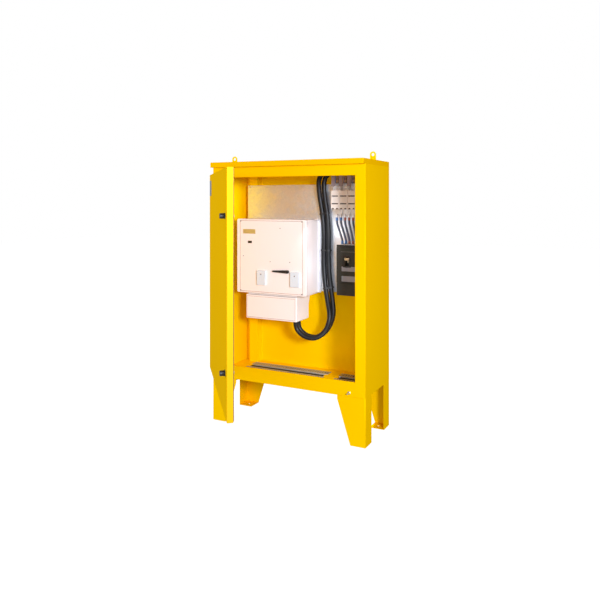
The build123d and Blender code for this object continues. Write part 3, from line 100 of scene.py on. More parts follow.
class Finish:
    """A material whose nodes are added one by one."""

    def __init__(self, name, **fixed):
        self.material = bpy.data.materials.new(name)
        self.material.use_nodes = True
        self.tree = self.material.node_tree
        self.shader = self.tree.nodes["Principled BSDF"]
        for socket, value in fixed.items():
            self.shader.inputs[socket.replace("_", " ")].default_value = value

    def node(self, kind, settings=None, inputs=None, output=0):
        """Any node: its settings first, then the values or links of its sockets."""
        made = self.tree.nodes.new(kind)
        for name, value in (settings or {}).items():
            if name == "stops":
                ramp = made.color_ramp.elements
                while len(ramp) < len(value):
                    ramp.new(1)
                for element, (place, colour) in zip(ramp, value):
                    element.position, element.color = place, colour
            else:
                setattr(made, name, value)
        for name, value in (inputs or {}).items():
            if isinstance(value, Tone):
                self.tree.links.new(value.socket, made.inputs[name])
            else:
                made.inputs[name].default_value = value
        return Tone(self, made.outputs[output])

    def place(self, kind="Object"):
        """Where a point of the surface is."""
        return self.node("ShaderNodeTexCoord", output=kind)

    def along(self, axis, kind="Object"):
        """How far a point of the surface is along an axis."""
        return self.node("ShaderNodeSeparateXYZ", inputs={"Vector": self.place(kind)}, output=axis)

    def noise(self, scale, detail=2, where=None):
        """Soft blotches or grain, so many to the metre."""
        return self.node(
            "ShaderNodeTexNoise",
            inputs={"Vector": where or self.place(), "Scale": scale, "Detail": detail},
        )

    def ramp(self, value, *stops):
        """Colours along a value, blended."""
        return self.node("ShaderNodeValToRGB", {"stops": stops}, {"Fac": value})

    def over(self, first, second):
        """1 where the first value is the larger one."""
        return self.node("ShaderNodeMath", {"operation": "GREATER_THAN"}, {0: first, 1: second})

    def mixed(self, share, first, second):
        """A colour between two others."""
        return self.node(
            "ShaderNodeMix", {"data_type": "RGBA"}, {"Factor": share, "A": first, "B": second}, "Result"
        )

    def feed(self, **values):
        """Link values to the shader's sockets."""
        for name, value in values.items():
            self.tree.links.new(value.socket, self.shader.inputs[name.replace("_", " ")])

    def bump(self, height, distance, strength=1.0):
        """Raise the surface by a height from 0 to 1, times a distance in metres."""
        raised = {"Height": height, "Distance": distance, "Strength": strength}
        self.feed(Normal=self.node("ShaderNodeBump", inputs=raised))


def coat(name, finish, edge=0.0):
    """Give a CAD node its finish, and round its sharp edges a little."""
    node = nodes[name]
    node.data.materials.clear()
    node.data.materials.append(finish.material)
    if edge:
        weld = node.modifiers.new("joined_faces", "WELD")
        weld.merge_threshold = 0.00001
        rounding = node.modifiers.new("rounded_edges", "BEVEL")
        rounding.width = edge
        rounding.segments = 2
        rounding.limit_method = "ANGLE"
        rounding.angle_limit = math.radians(40)
        rounding.harden_normals = True


def corners(name):
    """The lowest and the highest corner of a CAD node's box."""
    return tuple(Vector(corner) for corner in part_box(name))


side_low, side_high = corners("side_panel_right")
floor_top = corners("floor_panel")[1].z
roof_low = corners("roof_tray")[0].z
inside_half = side_high.x - INSIDE_FROM_SIDE
door_reach = max(
    vertex.co.x * DOOR_ALONG[0] + vertex.co.y * DOOR_ALONG[1] for vertex in nodes["door_panel"].data.vertices
)

paint = Finish("yellow_powder_coat", Specular_IOR_Level=0.0, Metallic=0.2, Specular_Tint=YELLOW_EDGE)
paint_cloud = paint.noise(2.3, 3)
paint_grain = paint.noise(420)
across, depth, height = (paint.along(axis) for axis in "XYZ")
# Painted light: inside the cabinet the yellow is paler, standing in for the light that fills it.
inside_painted_light = (
    paint.over(inside_half, across) * paint.over(across, -inside_half)
    * paint.over(depth, side_low.y + INSIDE_FROM_FRONT) * paint.over(height, floor_top - INSIDE_BELOW_FLOOR)
)
# Painted shade: a thin strip along the door's free edge, which faces the key lamp, is a darker yellow.
free_edge_painted_shade = paint.over(across * DOOR_ALONG[0] + depth * DOOR_ALONG[1], door_reach - EDGE_PAINTED_SHADE_WIDTH)
outside_shade = paint.mixed(paint_cloud, YELLOW, YELLOW_DEEP)
# Painted shade: the roof is a darker yellow than the walls.
outside_shade = paint.mixed(
    paint.over(height, roof_low) * ROOF_PAINTED_SHADE_SHARE, outside_shade, YELLOW_ROOF_PAINTED_SHADE
)
outside_shade = paint.mixed(free_edge_painted_shade, outside_shade, YELLOW_EDGE_PAINTED_SHADE)
paint.feed(
    Base_Color=paint.mixed(inside_painted_light, outside_shade, YELLOW_INSIDE_PAINTED_LIGHT),
    Roughness=paint_grain * 0.08 + paint_cloud * 0.10 + 0.30,
)
paint.bump(paint_grain, 0.00006, 0.5)
for name in YELLOW_PAINTED:
    coat(name, paint, COAT_EDGE)

# Mounting plate and its bracket for the metering box: hot-dip galvanised sheet, left bare, pale zinc
# with a faint spangle. The slotted cable rails over the floor openings are duller and handled.
SHEET_EDGE = 0.0003
ZINC_LIGHT = (0.84, 0.86, 0.89, 1)
ZINC_DARK = (0.70, 0.73, 0.77, 1)
RAIL_LIGHT = (0.50, 0.46, 0.36, 1)
RAIL_DARK = (0.34, 0.31, 0.24, 1)

zinc = Finish("galvanised_sheet", Metallic=0.9)
crystals = zinc.node(
    "ShaderNodeTexVoronoi", {"feature": "F1"}, {"Vector": zinc.place(), "Scale": 90}, "Color"
)
spangle = zinc.node("ShaderNodeSeparateColor", inputs={"Color": crystals}, output="Red")
zinc_cloud = zinc.noise(7, 4)
zinc.feed(
    Base_Color=zinc.mixed(spangle * 0.5 + zinc_cloud * 0.4, ZINC_LIGHT, ZINC_DARK),
    Roughness=spangle * 0.12 + zinc_cloud * 0.15 + 0.32,
)
zinc.bump(zinc.noise(300), 0.00003, 0.3)
for name in ("mounting_plate", "meter_bracket"):
    coat(name, zinc, SHEET_EDGE)

rail_zinc = Finish("dull_zinc_rails", Metallic=0.5)
rail_cloud = rail_zinc.noise(30, 4)
rail_zinc.feed(
    Base_Color=rail_zinc.mixed(rail_cloud, RAIL_LIGHT, RAIL_DARK),
    Roughness=rail_cloud * 0.2 + 0.45,
)
for name in ("cable_rails_left", "cable_rails_right"):
    coat(name, rail_zinc, SHEET_EDGE)

# Hinges, lock cores with their cams, lock nuts, leg bolts, plate screws and earth stud: turned and
# pressed steel with a bright zinc plating that is yellowed in places.
PLATED = (0.66, 0.67, 0.70, 1)
PLATED_WARM = (0.60, 0.58, 0.50, 1)

plated = Finish("bright_plated_steel", Metallic=1.0)
plated_cloud = plated.noise(55, 3)
plated.feed(
    Base_Color=plated.mixed(plated_cloud, PLATED, PLATED_WARM),
    Roughness=plated_cloud * 0.2 + 0.2,
)
for name in (
    "hinge_brackets hinge_leaves hinge_pins lock_insert_lower lock_insert_upper lock_cam_lower "
    "lock_cam_upper lock_nuts leg_bolts plate_screws earth_stud"
).split():
    coat(name, plated, SHEET_EDGE)

# Lock bodies, conduit ties, end bushings and the metering box's switch lever: black moulded nylon
# with a fine matt grain, pale where it has been handled.
NYLON_EDGE = 0.0004
BLACK_NYLON = (0.012, 0.012, 0.013, 1)
BLACK_NYLON_WORN = (0.03, 0.03, 0.031, 1)

nylon = Finish("black_nylon", Specular_IOR_Level=0.4)
nylon_grain = nylon.noise(900)
nylon.feed(
    Base_Color=nylon.mixed(nylon.noise(40, 3), BLACK_NYLON, BLACK_NYLON_WORN),
    Roughness=nylon_grain * 0.15 + 0.33,
)
nylon.bump(nylon_grain, 0.00004, 0.5)
for name in "lock_housing_lower lock_housing_upper switch_lever conduit_ties conduit_bushings".split():
    coat(name, nylon, NYLON_EDGE)

# Door gasket: polyurethane foamed in place along the door's return lip, soft, open-celled and
# slightly domed.
GASKET_EDGE = 0.0012
FOAM_BLACK = (0.02, 0.02, 0.02, 1)
FOAM_GREY = (0.06, 0.06, 0.06, 1)

foam = Finish("gasket_foam", Roughness=0.85)
foam.feed(Base_Color=foam.ramp(foam.noise(700, 3), (0.3, FOAM_BLACK), (0.8, FOAM_GREY)))
foam.bump(foam.noise(1100, 3), 0.00015, 0.7)
coat("door_gasket", foam, GASKET_EDGE)

# Rating plate on the door's outside: brushed aluminium coated grey and left blank, held by its
# adhesive back.
FOIL_EDGE = 0.0002
PLATE_GREY = (0.25, 0.25, 0.27, 1)
PLATE_GREY_LIGHT = (0.34, 0.34, 0.37, 1)
BRUSHED_UP = (1, 1, 60)

blank_plate = Finish("blank_plate", Metallic=0.6)
brushed = blank_plate.node(
    "ShaderNodeMapping", inputs={"Vector": blank_plate.place(), "Scale": BRUSHED_UP}
)
brush_lines = blank_plate.noise(40, 3, brushed)
blank_plate.feed(
    Base_Color=blank_plate.mixed(brush_lines, PLATE_GREY, PLATE_GREY_LIGHT),
    Roughness=brush_lines * 0.2 + 0.3,
)
coat("door_plate", blank_plate, FOIL_EDGE)

# Metering box, its lid and the terminal cover: glass-filled thermoset, cream, moulded with a fine
# texture and a soft sheen. The two seal blocks on the lid are a paler grey moulding.
MOULDED_EDGE = 0.0005
CREAM = (0.90, 0.82, 0.78, 1)
CREAM_SHADE = (0.88, 0.79, 0.73, 1)
SEAL_GREY = (0.70, 0.76, 0.80, 1)
SEAL_GREY_SHADE = (0.66, 0.72, 0.76, 1)

cream = Finish("cream_moulding", Specular_IOR_Level=0.35)
cream_grain = cream.noise(650, 3)
cream.feed(
    Base_Color=cream.mixed(cream.noise(5, 3), CREAM, CREAM_SHADE),
    Roughness=cream_grain * 0.12 + 0.4,
)
cream.bump(cream_grain, 0.00005, 0.5)
for name in ("meter_box_base", "meter_box_lid", "terminal_cover"):
    coat(name, cream, MOULDED_EDGE)

seal_grey = Finish("pale_grey_moulding", Roughness=0.4)
seal_grey.feed(Base_Color=seal_grey.mixed(seal_grey.noise(30, 3), SEAL_GREY, SEAL_GREY_SHADE))
seal_grey.bump(seal_grey.noise(800), 0.00004, 0.4)
coat("seal_blocks", seal_grey, MOULDED_EDGE)

# Sight window and label of the lid: a clear pane that looks dark because the box behind it is dark,
# and a bare strip of gold-coloured anodised foil, stuck on.
PANE_DARK = (0.012, 0.011, 0.01, 1)
PANE_DUSTY = (0.03, 0.028, 0.026, 1)
GOLD = (0.74, 0.66, 0.28, 1)
GOLD_DULL = (0.62, 0.54, 0.20, 1)

pane = Finish("sight_pane", Roughness=0.06, Coat_Weight=0.6)
pane.feed(Base_Color=pane.ramp(pane.noise(90), (0.3, PANE_DARK), (0.8, PANE_DUSTY)))
coat("sight_window", pane, SHEET_EDGE)

foil = Finish("gold_foil", Metallic=0.55)
foil_grain = foil.noise(260, 3)
foil.feed(
    Base_Color=foil.mixed(foil_grain, GOLD, GOLD_DULL),
    Roughness=foil_grain * 0.2 + 0.3,
)
coat("meter_label", foil, FOIL_EDGE)

# Seams of the box: the lid sits in the rim of its base and the terminal cover in its own frame, so
# a narrow shadow line runs round inside both edges, drawn as thin brown strips of painted shadow.
SEAM_PAINTED_SHADOW = (0.60, 0.42, 0.34, 1)
SEAM_PAINTED_SHADOW_DARK = (0.42, 0.28, 0.22, 1)
SEAM_WIDTH = 0.003
SEAM_PROUD = 0.0003
LID_SEAM_SIDE = 0.023
LID_SEAM_END = 0.009
SIDE_SEAM_END = 0.002
TERMINAL_SEAM = 0.008
TERMINAL_SEAM_WIDTH = 0.0021


def rectangle(low_x, high_x, low_z, high_z):
    """The four corners of an upright rectangle."""
    return [(low_x, low_z), (high_x, low_z), (high_x, high_z), (low_x, high_z)]


def rounded(middle, size, radius):
    """The outline of a rectangle with round corners, from its middle and its width and height."""
    steps = 4
    reach_x, reach_z = size[0] / 2 - radius, size[1] / 2 - radius
    points = []
    for turn, (side, up) in enumerate(((1, 1), (-1, 1), (-1, -1), (1, -1))):
        for step in range(steps + 1):
            angle = (turn + step / steps) * math.pi / 2
            x = middle[0] + side * reach_x + radius * math.cos(angle)
            points.append((x, middle[1] + up * reach_z + radius * math.sin(angle)))
    return points


def mitred_frame(low_x, high_x, low_z, high_z, width):
    """Four bars round an opening, cut at 45 degrees where they meet."""
    outer = rectangle(low_x, high_x, low_z, high_z)
    inner = rectangle(low_x + width, high_x - width, low_z + width, high_z - width)
    return [[outer[i], outer[(i + 1) % 4], inner[(i + 1) % 4], inner[i]] for i in range(4)]


def finished(name, made, finish, body="cabinet"):
    """Make a piece of worked mesh data, with its finish, that rides on a body."""
    mesh = bpy.data.meshes.new(name)
    made.to_mesh(mesh)
    made.free()
    mesh.materials.append(finish.material)
    piece = bpy.data.objects.new(name, mesh)
    bpy.context.scene.collection.objects.link(piece)
    if body:
        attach(piece, body)
    return piece


def flat_pieces(name, outlines, front, back, finish, body="cabinet", edge=0.0, sideways=False):
    """Flat pieces cut to outlines in X and Z, between a front and a back Y, as one object.

    Sideways, the outlines are in Y and Z, between a left and a right X.
    """
    made = bmesh.new()
    for outline in outlines:
        near, far = (
            [made.verts.new((level, a, z) if sideways else (a, level, z)) for a, z in outline]
            for level in (front, back)
        )
        made.faces.new(near)
        made.faces.new(list(reversed(far)))
        for i in range(len(outline)):
            following = (i + 1) % len(outline)
            made.faces.new((near[following], near[i], far[i], far[following]))
    bmesh.ops.recalc_face_normals(made, faces=made.faces)
    piece = finished(name, made, finish, body)
    if edge:
        rounding = piece.modifiers.new("rounded_edges", "BEVEL")
        rounding.width = edge
        rounding.segments = 2
        rounding.limit_method = "ANGLE"


# Painted shadow: thin brown strips stand on the lid and the terminal cover where their seams fall in shade.
seam_shadow = Finish("painted_seam_shadow", Roughness=0.7)
seam_shadow.feed(Base_Color=seam_shadow.mixed(seam_shadow.noise(60, 3), SEAM_PAINTED_SHADOW, SEAM_PAINTED_SHADOW_DARK))
lid_low, lid_high = corners("meter_box_lid")
flat_pieces(
    "lid_seam",
    mitred_frame(
        lid_low.x + LID_SEAM_SIDE, lid_high.x - LID_SEAM_SIDE,
        lid_low.z + LID_SEAM_END, lid_high.z - LID_SEAM_END, SEAM_WIDTH,
    ),
    lid_low.y - SEAM_PROUD, lid_low.y + SEAM_PROUD, seam_shadow,
)
flat_pieces(
    "lid_side_seam",
    [
        rectangle(
            lid_high.x - SEAM_PROUD, lid_high.x + SEAM_PROUD,
            lid_low.z + SIDE_SEAM_END, lid_high.z - SIDE_SEAM_END,
        )
    ],
    lid_high.y - SEAM_WIDTH / 4, lid_high.y + SEAM_WIDTH / 4, seam_shadow,
)
terminal_low, terminal_high = corners("terminal_cover")
flat_pieces(
    "terminal_seam",
    mitred_frame(
        terminal_low.x + TERMINAL_SEAM, terminal_high.x - TERMINAL_SEAM,
        terminal_low.z + TERMINAL_SEAM, terminal_high.z - TERMINAL_SEAM, TERMINAL_SEAM_WIDTH,
    ),
    terminal_low.y - SEAM_PROUD, terminal_low.y + SEAM_PROUD, seam_shadow,
)

# Screws of the lid and of the seal blocks: steel with a grey-brown passivated coat, each with a
# cross recess for the tool. The lid's are set flush, and the seal blocks' stand a little proud.
LID_SCREWS = (
    (-0.399, 0.783), (0.033, 0.783), (-0.399, 1.220), (0.033, 1.220),
    (-0.117, 1.178), (-0.380, 1.000), (-0.186, 0.971), (-0.049, 0.973),
)
PASSIVATED = (0.34, 0.30, 0.25, 1)
PASSIVATED_DARK = (0.20, 0.17, 0.14, 1)
RECESS_PAINTED_SHADE = (0.02, 0.018, 0.015, 1)
RECESS_PAINTED_SHADE_BROWN = (0.05, 0.04, 0.03, 1)
RECESS_LENGTH = 0.0048
RECESS_WIDTH = 0.0012
RECESS_LIFT = 0.0001
SEAL_BLOCK_WIDTH = 0.062
SEAL_SCREW_RISE = 0.067
SEAL_SCREW_SIZE = 0.0075
SEAL_SCREW_PROUD = 0.0006
SEAL_SCREW_DEEP = 0.001
SEAL_SCREW_EDGE = 0.0003

passivated = Finish("passivated_screws", Metallic=0.6)
passivated_cloud = passivated.noise(200, 3)
passivated.feed(
    Base_Color=passivated.mixed(passivated_cloud, PASSIVATED, PASSIVATED_DARK),
    Roughness=passivated_cloud * 0.2 + 0.35,
)
coat("lid_screws", passivated, SHEET_EDGE)
# Painted shade: the cross recesses and the breaker's wire entries are flat dark patches, not hollows.
painted_hole_shade = Finish("painted_recess_shade", Roughness=0.8)
painted_hole_shade.feed(Base_Color=painted_hole_shade.mixed(painted_hole_shade.noise(90), RECESS_PAINTED_SHADE, RECESS_PAINTED_SHADE_BROWN))


def crosses(centres):
    """The outlines of the cross recesses at some centres."""
    half, thin = RECESS_LENGTH / 2, RECESS_WIDTH / 2
    turns = (
        (-thin, -half), (thin, -half), (thin, -thin), (half, -thin), (half, thin), (thin, thin),
        (thin, half), (-thin, half), (-thin, thin), (-half, thin), (-half, -thin), (-thin, -thin),
    )
    return [[(x + a, z + b) for a, b in turns] for x, z in centres]


screw_front = corners("lid_screws")[0].y
flat_pieces(
    "lid_screw_recesses", crosses(LID_SCREWS),
    screw_front - RECESS_LIFT, screw_front + RECESS_LIFT, painted_hole_shade,
)
seal_low, seal_high = corners("seal_blocks")
seal_screws = [
    (x, seal_low.z + SEAL_SCREW_RISE)
    for x in (seal_low.x + SEAL_BLOCK_WIDTH / 2, seal_high.x - SEAL_BLOCK_WIDTH / 2)
]
seal_head = seal_low.y - SEAL_SCREW_PROUD
flat_pieces(
    "seal_screws",
    [rounded(place, (SEAL_SCREW_SIZE, SEAL_SCREW_SIZE), SEAL_SCREW_SIZE / 2.001) for place in seal_screws],
    seal_head, seal_low.y + SEAL_SCREW_DEEP, passivated, edge=SEAL_SCREW_EDGE,
)
flat_pieces(
    "seal_screw_recesses", crosses(seal_screws),
    seal_head - RECESS_LIFT, seal_head + RECESS_LIFT, painted_hole_shade,
)

# Conduits: flexible steel spiral tube in a black sheath that shows the spiral faintly. Both go from
# the terminal cover round a low loop and up the mounting plate to the clamp under the top sheet.
SHEATH_BLACK = (0.008, 0.008, 0.009, 1)
SHEATH_SCUFFED = (0.020, 0.020, 0.021, 1)
CONDUIT_RADIUS = 0.015
CONDUIT_SIDES = 28
CONDUIT_RIB = 0.005
FRONT_ROUTE = (
    (-0.030, -0.0015, 0.624), (-0.030, -0.0015, 0.578), (-0.007, 0.0025, 0.543), (0.036, 0.012, 0.515),
    (0.100, 0.027, 0.512), (0.155, 0.051, 0.563), (0.172, 0.069, 0.645), (0.139, 0.093, 0.745),
    (0.111, 0.112, 0.880), (0.105, 0.115, 1.010), (0.109, 0.115, 1.140), (0.099, 0.115, 1.262),
    (0.079, 0.107, 1.385), (0.079, 0.093, 1.486), (0.131, 0.084, 1.531), (0.212, 0.084, 1.531),
)
REAR_ROUTE = (
    (-0.028, 0.0305, 0.624), (-0.028, 0.0305, 0.578), (-0.007, 0.035, 0.543), (0.035, 0.0445, 0.515),
    (0.097, 0.0595, 0.512), (0.152, 0.083, 0.563), (0.180, 0.103, 0.645), (0.166, 0.113, 0.745),
    (0.1436, 0.115, 0.880), (0.1376, 0.116, 1.010), (0.1416, 0.115, 1.140), (0.1316, 0.115, 1.262),
    (0.109, 0.116, 1.385), (0.103, 0.122, 1.486), (0.165, 0.119, 1.531), (0.245, 0.119, 1.531),
)

sheath = Finish("black_conduit_sheath", Specular_IOR_Level=0.22)
rib_wave = sheath.node(
    "ShaderNodeMath", {"operation": "SINE"}, {0: sheath.along("X", "UV") * (2 * math.pi / CONDUIT_RIB)}
)
scuff = sheath.noise(35, 4)
sheath.feed(
    Base_Color=sheath.mixed(scuff, SHEATH_BLACK, SHEATH_SCUFFED),
    Roughness=scuff * 0.22 + 0.24,
)
sheath.bump(rib_wave * 0.5 + 0.5, 0.00012, 0.35)


def centreline(name, route):
    """The points of a smooth curve through a route."""
    curve = bpy.data.curves.new(name + "_line", "CURVE")
    curve.dimensions = "3D"
    spline = curve.splines.new("NURBS")
    spline.points.add(len(route) - 1)
    for point, place in zip(spline.points, route):
        point.co = (*place, 1)
    spline.order_u = 3
    spline.use_endpoint_u = True
    spline.resolution_u = 16
    holder = bpy.data.objects.new(name + "_line", curve)
    line = bpy.data.meshes.new_from_object(holder)
    points = [vertex.co.copy() for vertex in line.vertices]
    bpy.data.objects.remove(holder)
    bpy.data.meshes.remove(line)
    return points


def round_tube(name, points, radii, sides, finish):
    """A round tube along points, with the distance along it in its UV map."""
    made = bmesh.new()
    uv = made.loops.layers.uv.new("along")
    turns = [2 * math.pi * k / sides for k in range(sides)]
    travelled, travels, rings = 0.0, [], []
    side = None
    for i, (point, radius) in enumerate(zip(points, radii)):
        ahead = points[min(i + 1, len(points) - 1)] - points[max(i - 1, 0)]
        ahead.normalize()
        side = ahead.orthogonal() if side is None else side - ahead * side.dot(ahead)
        side.normalize()
        over = ahead.cross(side)
        if i:
            travelled += (point - points[i - 1]).length
        travels.append(travelled)
        rings.append(
            [made.verts.new(point + (side * math.cos(t) + over * math.sin(t)) * radius) for t in turns]
        )
    for i in range(len(rings) - 1):
        for k in range(sides):
            following = (k + 1) % sides
            face = made.faces.new(
                (rings[i][k], rings[i][following], rings[i + 1][following], rings[i + 1][k])
            )
            face.smooth = True
            for loop, (ring, turn) in zip(face.loops, ((i, k), (i, k + 1), (i + 1, k + 1), (i + 1, k))):
                loop[uv].uv = (travels[ring], turn / sides)
    made.faces.new(list(reversed(rings[0])))
    made.faces.new(rings[-1])
    return finished(name, made, finish), travelled


for name, route in (("conduit_front", FRONT_ROUTE), ("conduit_rear", REAR_ROUTE)):
    points = centreline(name, route)
    radii = [CONDUIT_RADIUS] * len(points)
    tube, travelled = round_tube(name + "_sheath", points, radii, CONDUIT_SIDES, sheath)
    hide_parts(name)

# Fuse base and its clip-on covers: beige moulded thermoset. Its contact bars and the cable lugs are
# tinned copper, bright with duller patches.
BEIGE_EDGE = 0.0004
BEIGE = (0.80, 0.74, 0.68, 1)
BEIGE_SHADE = (0.74, 0.67, 0.60, 1)
TINNED = (0.86, 0.88, 0.92, 1)
TINNED_DULL = (0.60, 0.60, 0.62, 1)
POLE_PITCH = 0.0535

beige = Finish("beige_moulding", Roughness=0.45)
beige_grain = beige.noise(500, 3)
beige.feed(
    Base_Color=beige.mixed(beige.noise(18, 3), BEIGE, BEIGE_SHADE),
    Roughness=beige_grain * 0.12 + 0.38,
)
beige.bump(beige_grain, 0.00005, 0.5)
for name in ("fuse_base", "fuse_covers"):
    coat(name, beige, BEIGE_EDGE)

tinned = Finish("tinned_copper", Metallic=0.5)
tinned_cloud = tinned.noise(60, 4)
tinned.feed(
    Base_Color=tinned.mixed(tinned_cloud, TINNED, TINNED_DULL),
    Roughness=tinned_cloud * 0.2 + 0.22,
)
for name in ("fuse_contacts", "cable_lugs"):
    coat(name, tinned, SHEET_EDGE)

fuse_low, fuse_high = corners("fuse_covers")
first_pole = (fuse_low.x + fuse_high.x) / 2 - 1.5 * POLE_PITCH
poles = [first_pole + i * POLE_PITCH for i in range(4)]


def nearest_pole(x):
    return min(poles, key=lambda pole: abs(pole - x))


# Slots of the fuse covers: cooling louvres moulded through the covers' front. The faces inside them
# are coloured dark, as painted shade for the hollow behind them.
CHAMBER_PAINTED_SHADE = (0.030, 0.016, 0.010, 1)
CHAMBER_PAINTED_SHADE_BROWN = (0.055, 0.030, 0.018, 1)
SLOT_REACH = 0.0225
SLOTS_LOW = 1.31
SLOTS_HIGH = 1.395
SLOT_DEEP = 0.001

slot_painted_shade = Finish("painted_slot_shade", Roughness=0.9)
slot_painted_shade.feed(Base_Color=slot_painted_shade.mixed(slot_painted_shade.noise(80), CHAMBER_PAINTED_SHADE, CHAMBER_PAINTED_SHADE_BROWN))
covers = nodes["fuse_covers"]
covers.data.materials.append(slot_painted_shade.material)
# Painted shade: the faces inside the slots get the dark finish.
for face in covers.data.polygons:
    x, y, z = face.center
    if abs(x - nearest_pole(x)) < SLOT_REACH and SLOTS_LOW < z < SLOTS_HIGH and y > fuse_low.y + SLOT_DEEP:
        face.material_index = 1

# Inlet boots: brown moulded rubber pushed over each incoming terminal, with a blue stripe down its
# front. Shade is painted into the brown as darker bands up its height, at its foot and in its folds.
BOOT_EDGE = 0.0006
BOOT_PAINTED_FOLD_SHADES = (
    (0.0, (0.05, 0.03, 0.015, 1)), (0.35, (0.30, 0.17, 0.06, 1)),
    (0.55, (0.10, 0.05, 0.02, 1)), (0.8, (0.26, 0.16, 0.07, 1)),
)
STRIPE_BLUE = (0.10, 0.16, 0.38, 1)
STRIPE_BLUE_PALE = (0.16, 0.22, 0.45, 1)
STRIPE_FROM, STRIPE_TO = -0.0125, -0.0045

boot_rubber = Finish("brown_boot_rubber")
boot_grain = boot_rubber.noise(400, 3)
boot_low, boot_high = corners("inlet_boots")
boot_share = (boot_rubber.along("Z") - boot_low.z) * (1 / (boot_high.z - boot_low.z))
# Painted shade: dark and light bands up the boot's height, darkest at its foot and in a fold.
boot_rubber.feed(
    Base_Color=boot_rubber.ramp(boot_share + (boot_grain - 0.5) * 0.1, *BOOT_PAINTED_FOLD_SHADES),
    Roughness=boot_grain * 0.15 + 0.4,
)
coat("inlet_boots", boot_rubber, BOOT_EDGE)
stripe = Finish("blue_boot_stripe", Roughness=0.4)
stripe.feed(Base_Color=stripe.mixed(stripe.noise(90), STRIPE_BLUE, STRIPE_BLUE_PALE))
boots = nodes["inlet_boots"]
boots.data.materials.append(stripe.material)
for face in boots.data.polygons:
    x = face.center.x
    if STRIPE_FROM < x - nearest_pole(x) < STRIPE_TO and face.normal.y < -0.2:
        face.material_index = 1

# Phase separators: mauve-grey moulded plates that stand between the boots, clipped to the front of
# the base's partitions, each narrower in the middle where a finger pulls it out.
MAUVE = (0.22, 0.18, 0.20, 1)
MAUVE_LIGHT = (0.30, 0.25, 0.27, 1)
SEPARATOR_THICKNESS = 0.0055
SEPARATOR_EDGE = 0.0012
END_SEPARATOR_SHIFT = 0.004
SEPARATOR_WIDTHS = (
    (1.4355, 0.0265), (1.452, 0.0265), (1.466, 0.0235), (1.480, 0.0235), (1.494, 0.0265), (1.507, 0.0265),
)

mauve = Finish("mauve_moulding")
mauve_grain = mauve.noise(300, 3)
mauve.feed(
    Base_Color=mauve.mixed(mauve_grain, MAUVE, MAUVE_LIGHT),
    Roughness=mauve_grain * 0.2 + 0.4,
)
base_front = corners("fuse_base")[0].y
separators = []
for i, pole in enumerate(poles):
    middle = pole - POLE_PITCH / 2 + (END_SEPARATOR_SHIFT if i == 0 else 0)
    right = [(middle + width / 2, z) for z, width in SEPARATOR_WIDTHS]
    separators.append(right + [(middle - width / 2, z) for z, width in reversed(SEPARATOR_WIDTHS)])
flat_pieces(
    "phase_separators", separators, base_front - SEPARATOR_THICKNESS, base_front, mauve, edge=SEPARATOR_EDGE
)

# Clamping bolts of the incoming terminals: tinned steel with domed heads, two over each pole, screwed
# into the contact bars.
BOLT_WIDTH = 0.0115
BOLT_TALL = 0.01035
BOLT_CORNER = 0.004
BOLT_EDGE = 0.0012
BOLT_LEVEL = 1.4245
BOLT_FRONT, BOLT_BACK = 0.012, 0.0205

bolts = [
    rounded((pole + side * POLE_PITCH / 4, BOLT_LEVEL), (BOLT_WIDTH, BOLT_TALL), BOLT_CORNER)
    for pole in poles for side in (-1, 1)
]
flat_pieces(
    "inlet_bolts", bolts, base_front + BOLT_FRONT, base_front + BOLT_BACK, tinned, edge=BOLT_EDGE
)

# Cable mouths: the arches in the fuse covers' lower edge, two to a pole, through which each cable's
# lug enters, drawn as flat dark arches of painted shade.
ARCH_RADIUS = 0.0074
ARCH_RISE = 0.00814
ARCH_STEPS = 10
ARCH_LIFT = 0.0002
ARCH_BACK = 0.0004

half_turn = [math.pi * k / ARCH_STEPS for k in range(ARCH_STEPS + 1)]
arch = [(ARCH_RADIUS * math.cos(t), fuse_low.z + ARCH_LIFT + ARCH_RISE * math.sin(t)) for t in half_turn]
arches = [
    [(pole + side * POLE_PITCH / 4 + x, z) for x, z in arch] for pole in poles for side in (-1, 1)
]
flat_pieces("cable_mouths", arches, fuse_low.y - ARCH_LIFT, fuse_low.y + ARCH_BACK, slot_painted_shade)

# Cables from the fuse base to the breaker: fine-stranded copper in a slate-coloured sheath, each end
# marked with a shrunk sleeve in its pole's colour.
SLATE = (0.075, 0.090, 0.150, 1)
SLATE_LIGHT = (0.120, 0.135, 0.200, 1)
POLE_COLOURS = {
    "blue": (0.05, 0.16, 0.42),
    "brown": (0.30, 0.10, 0.07),
    "maroon": (0.22, 0.06, 0.06),
    "grey": (0.30, 0.30, 0.31),
}

cable_sheath = Finish("slate_cable_sheath")
cable_cloud = cable_sheath.noise(45, 3)
cable_sheath.feed(
    Base_Color=cable_sheath.mixed(cable_cloud, SLATE, SLATE_LIGHT),
    Roughness=cable_cloud * 0.2 + 0.3,
)
coat("power_cables", cable_sheath)

sleeves = nodes["cable_sleeves"]
sleeves.data.materials.clear()
sleeve_finishes = []
for name, colour in POLE_COLOURS.items():
    sleeve = Finish(name + "_sleeve")
    sleeve_cloud = sleeve.noise(120)
    paler = (*(min(1, value * 1.5 + 0.01) for value in colour), 1)
    sleeve.feed(
        Base_Color=sleeve.mixed(sleeve_cloud, (*colour, 1), paler),
        Roughness=sleeve_cloud * 0.2 + 0.28,
    )
    sleeves.data.materials.append(sleeve.material)
    sleeve_finishes.append(sleeve)
for face in sleeves.data.polygons:
    face.material_index = poles.index(nearest_pole(face.center.x))

# Circuit breaker: a dark olive-grey moulded case screwed to the plate, with a raised cover and
# terminal covers in the same matt moulding.
OLIVE_BLACK = (0.034, 0.034, 0.028, 1)
OLIVE_GREY = (0.048, 0.047, 0.040, 1)

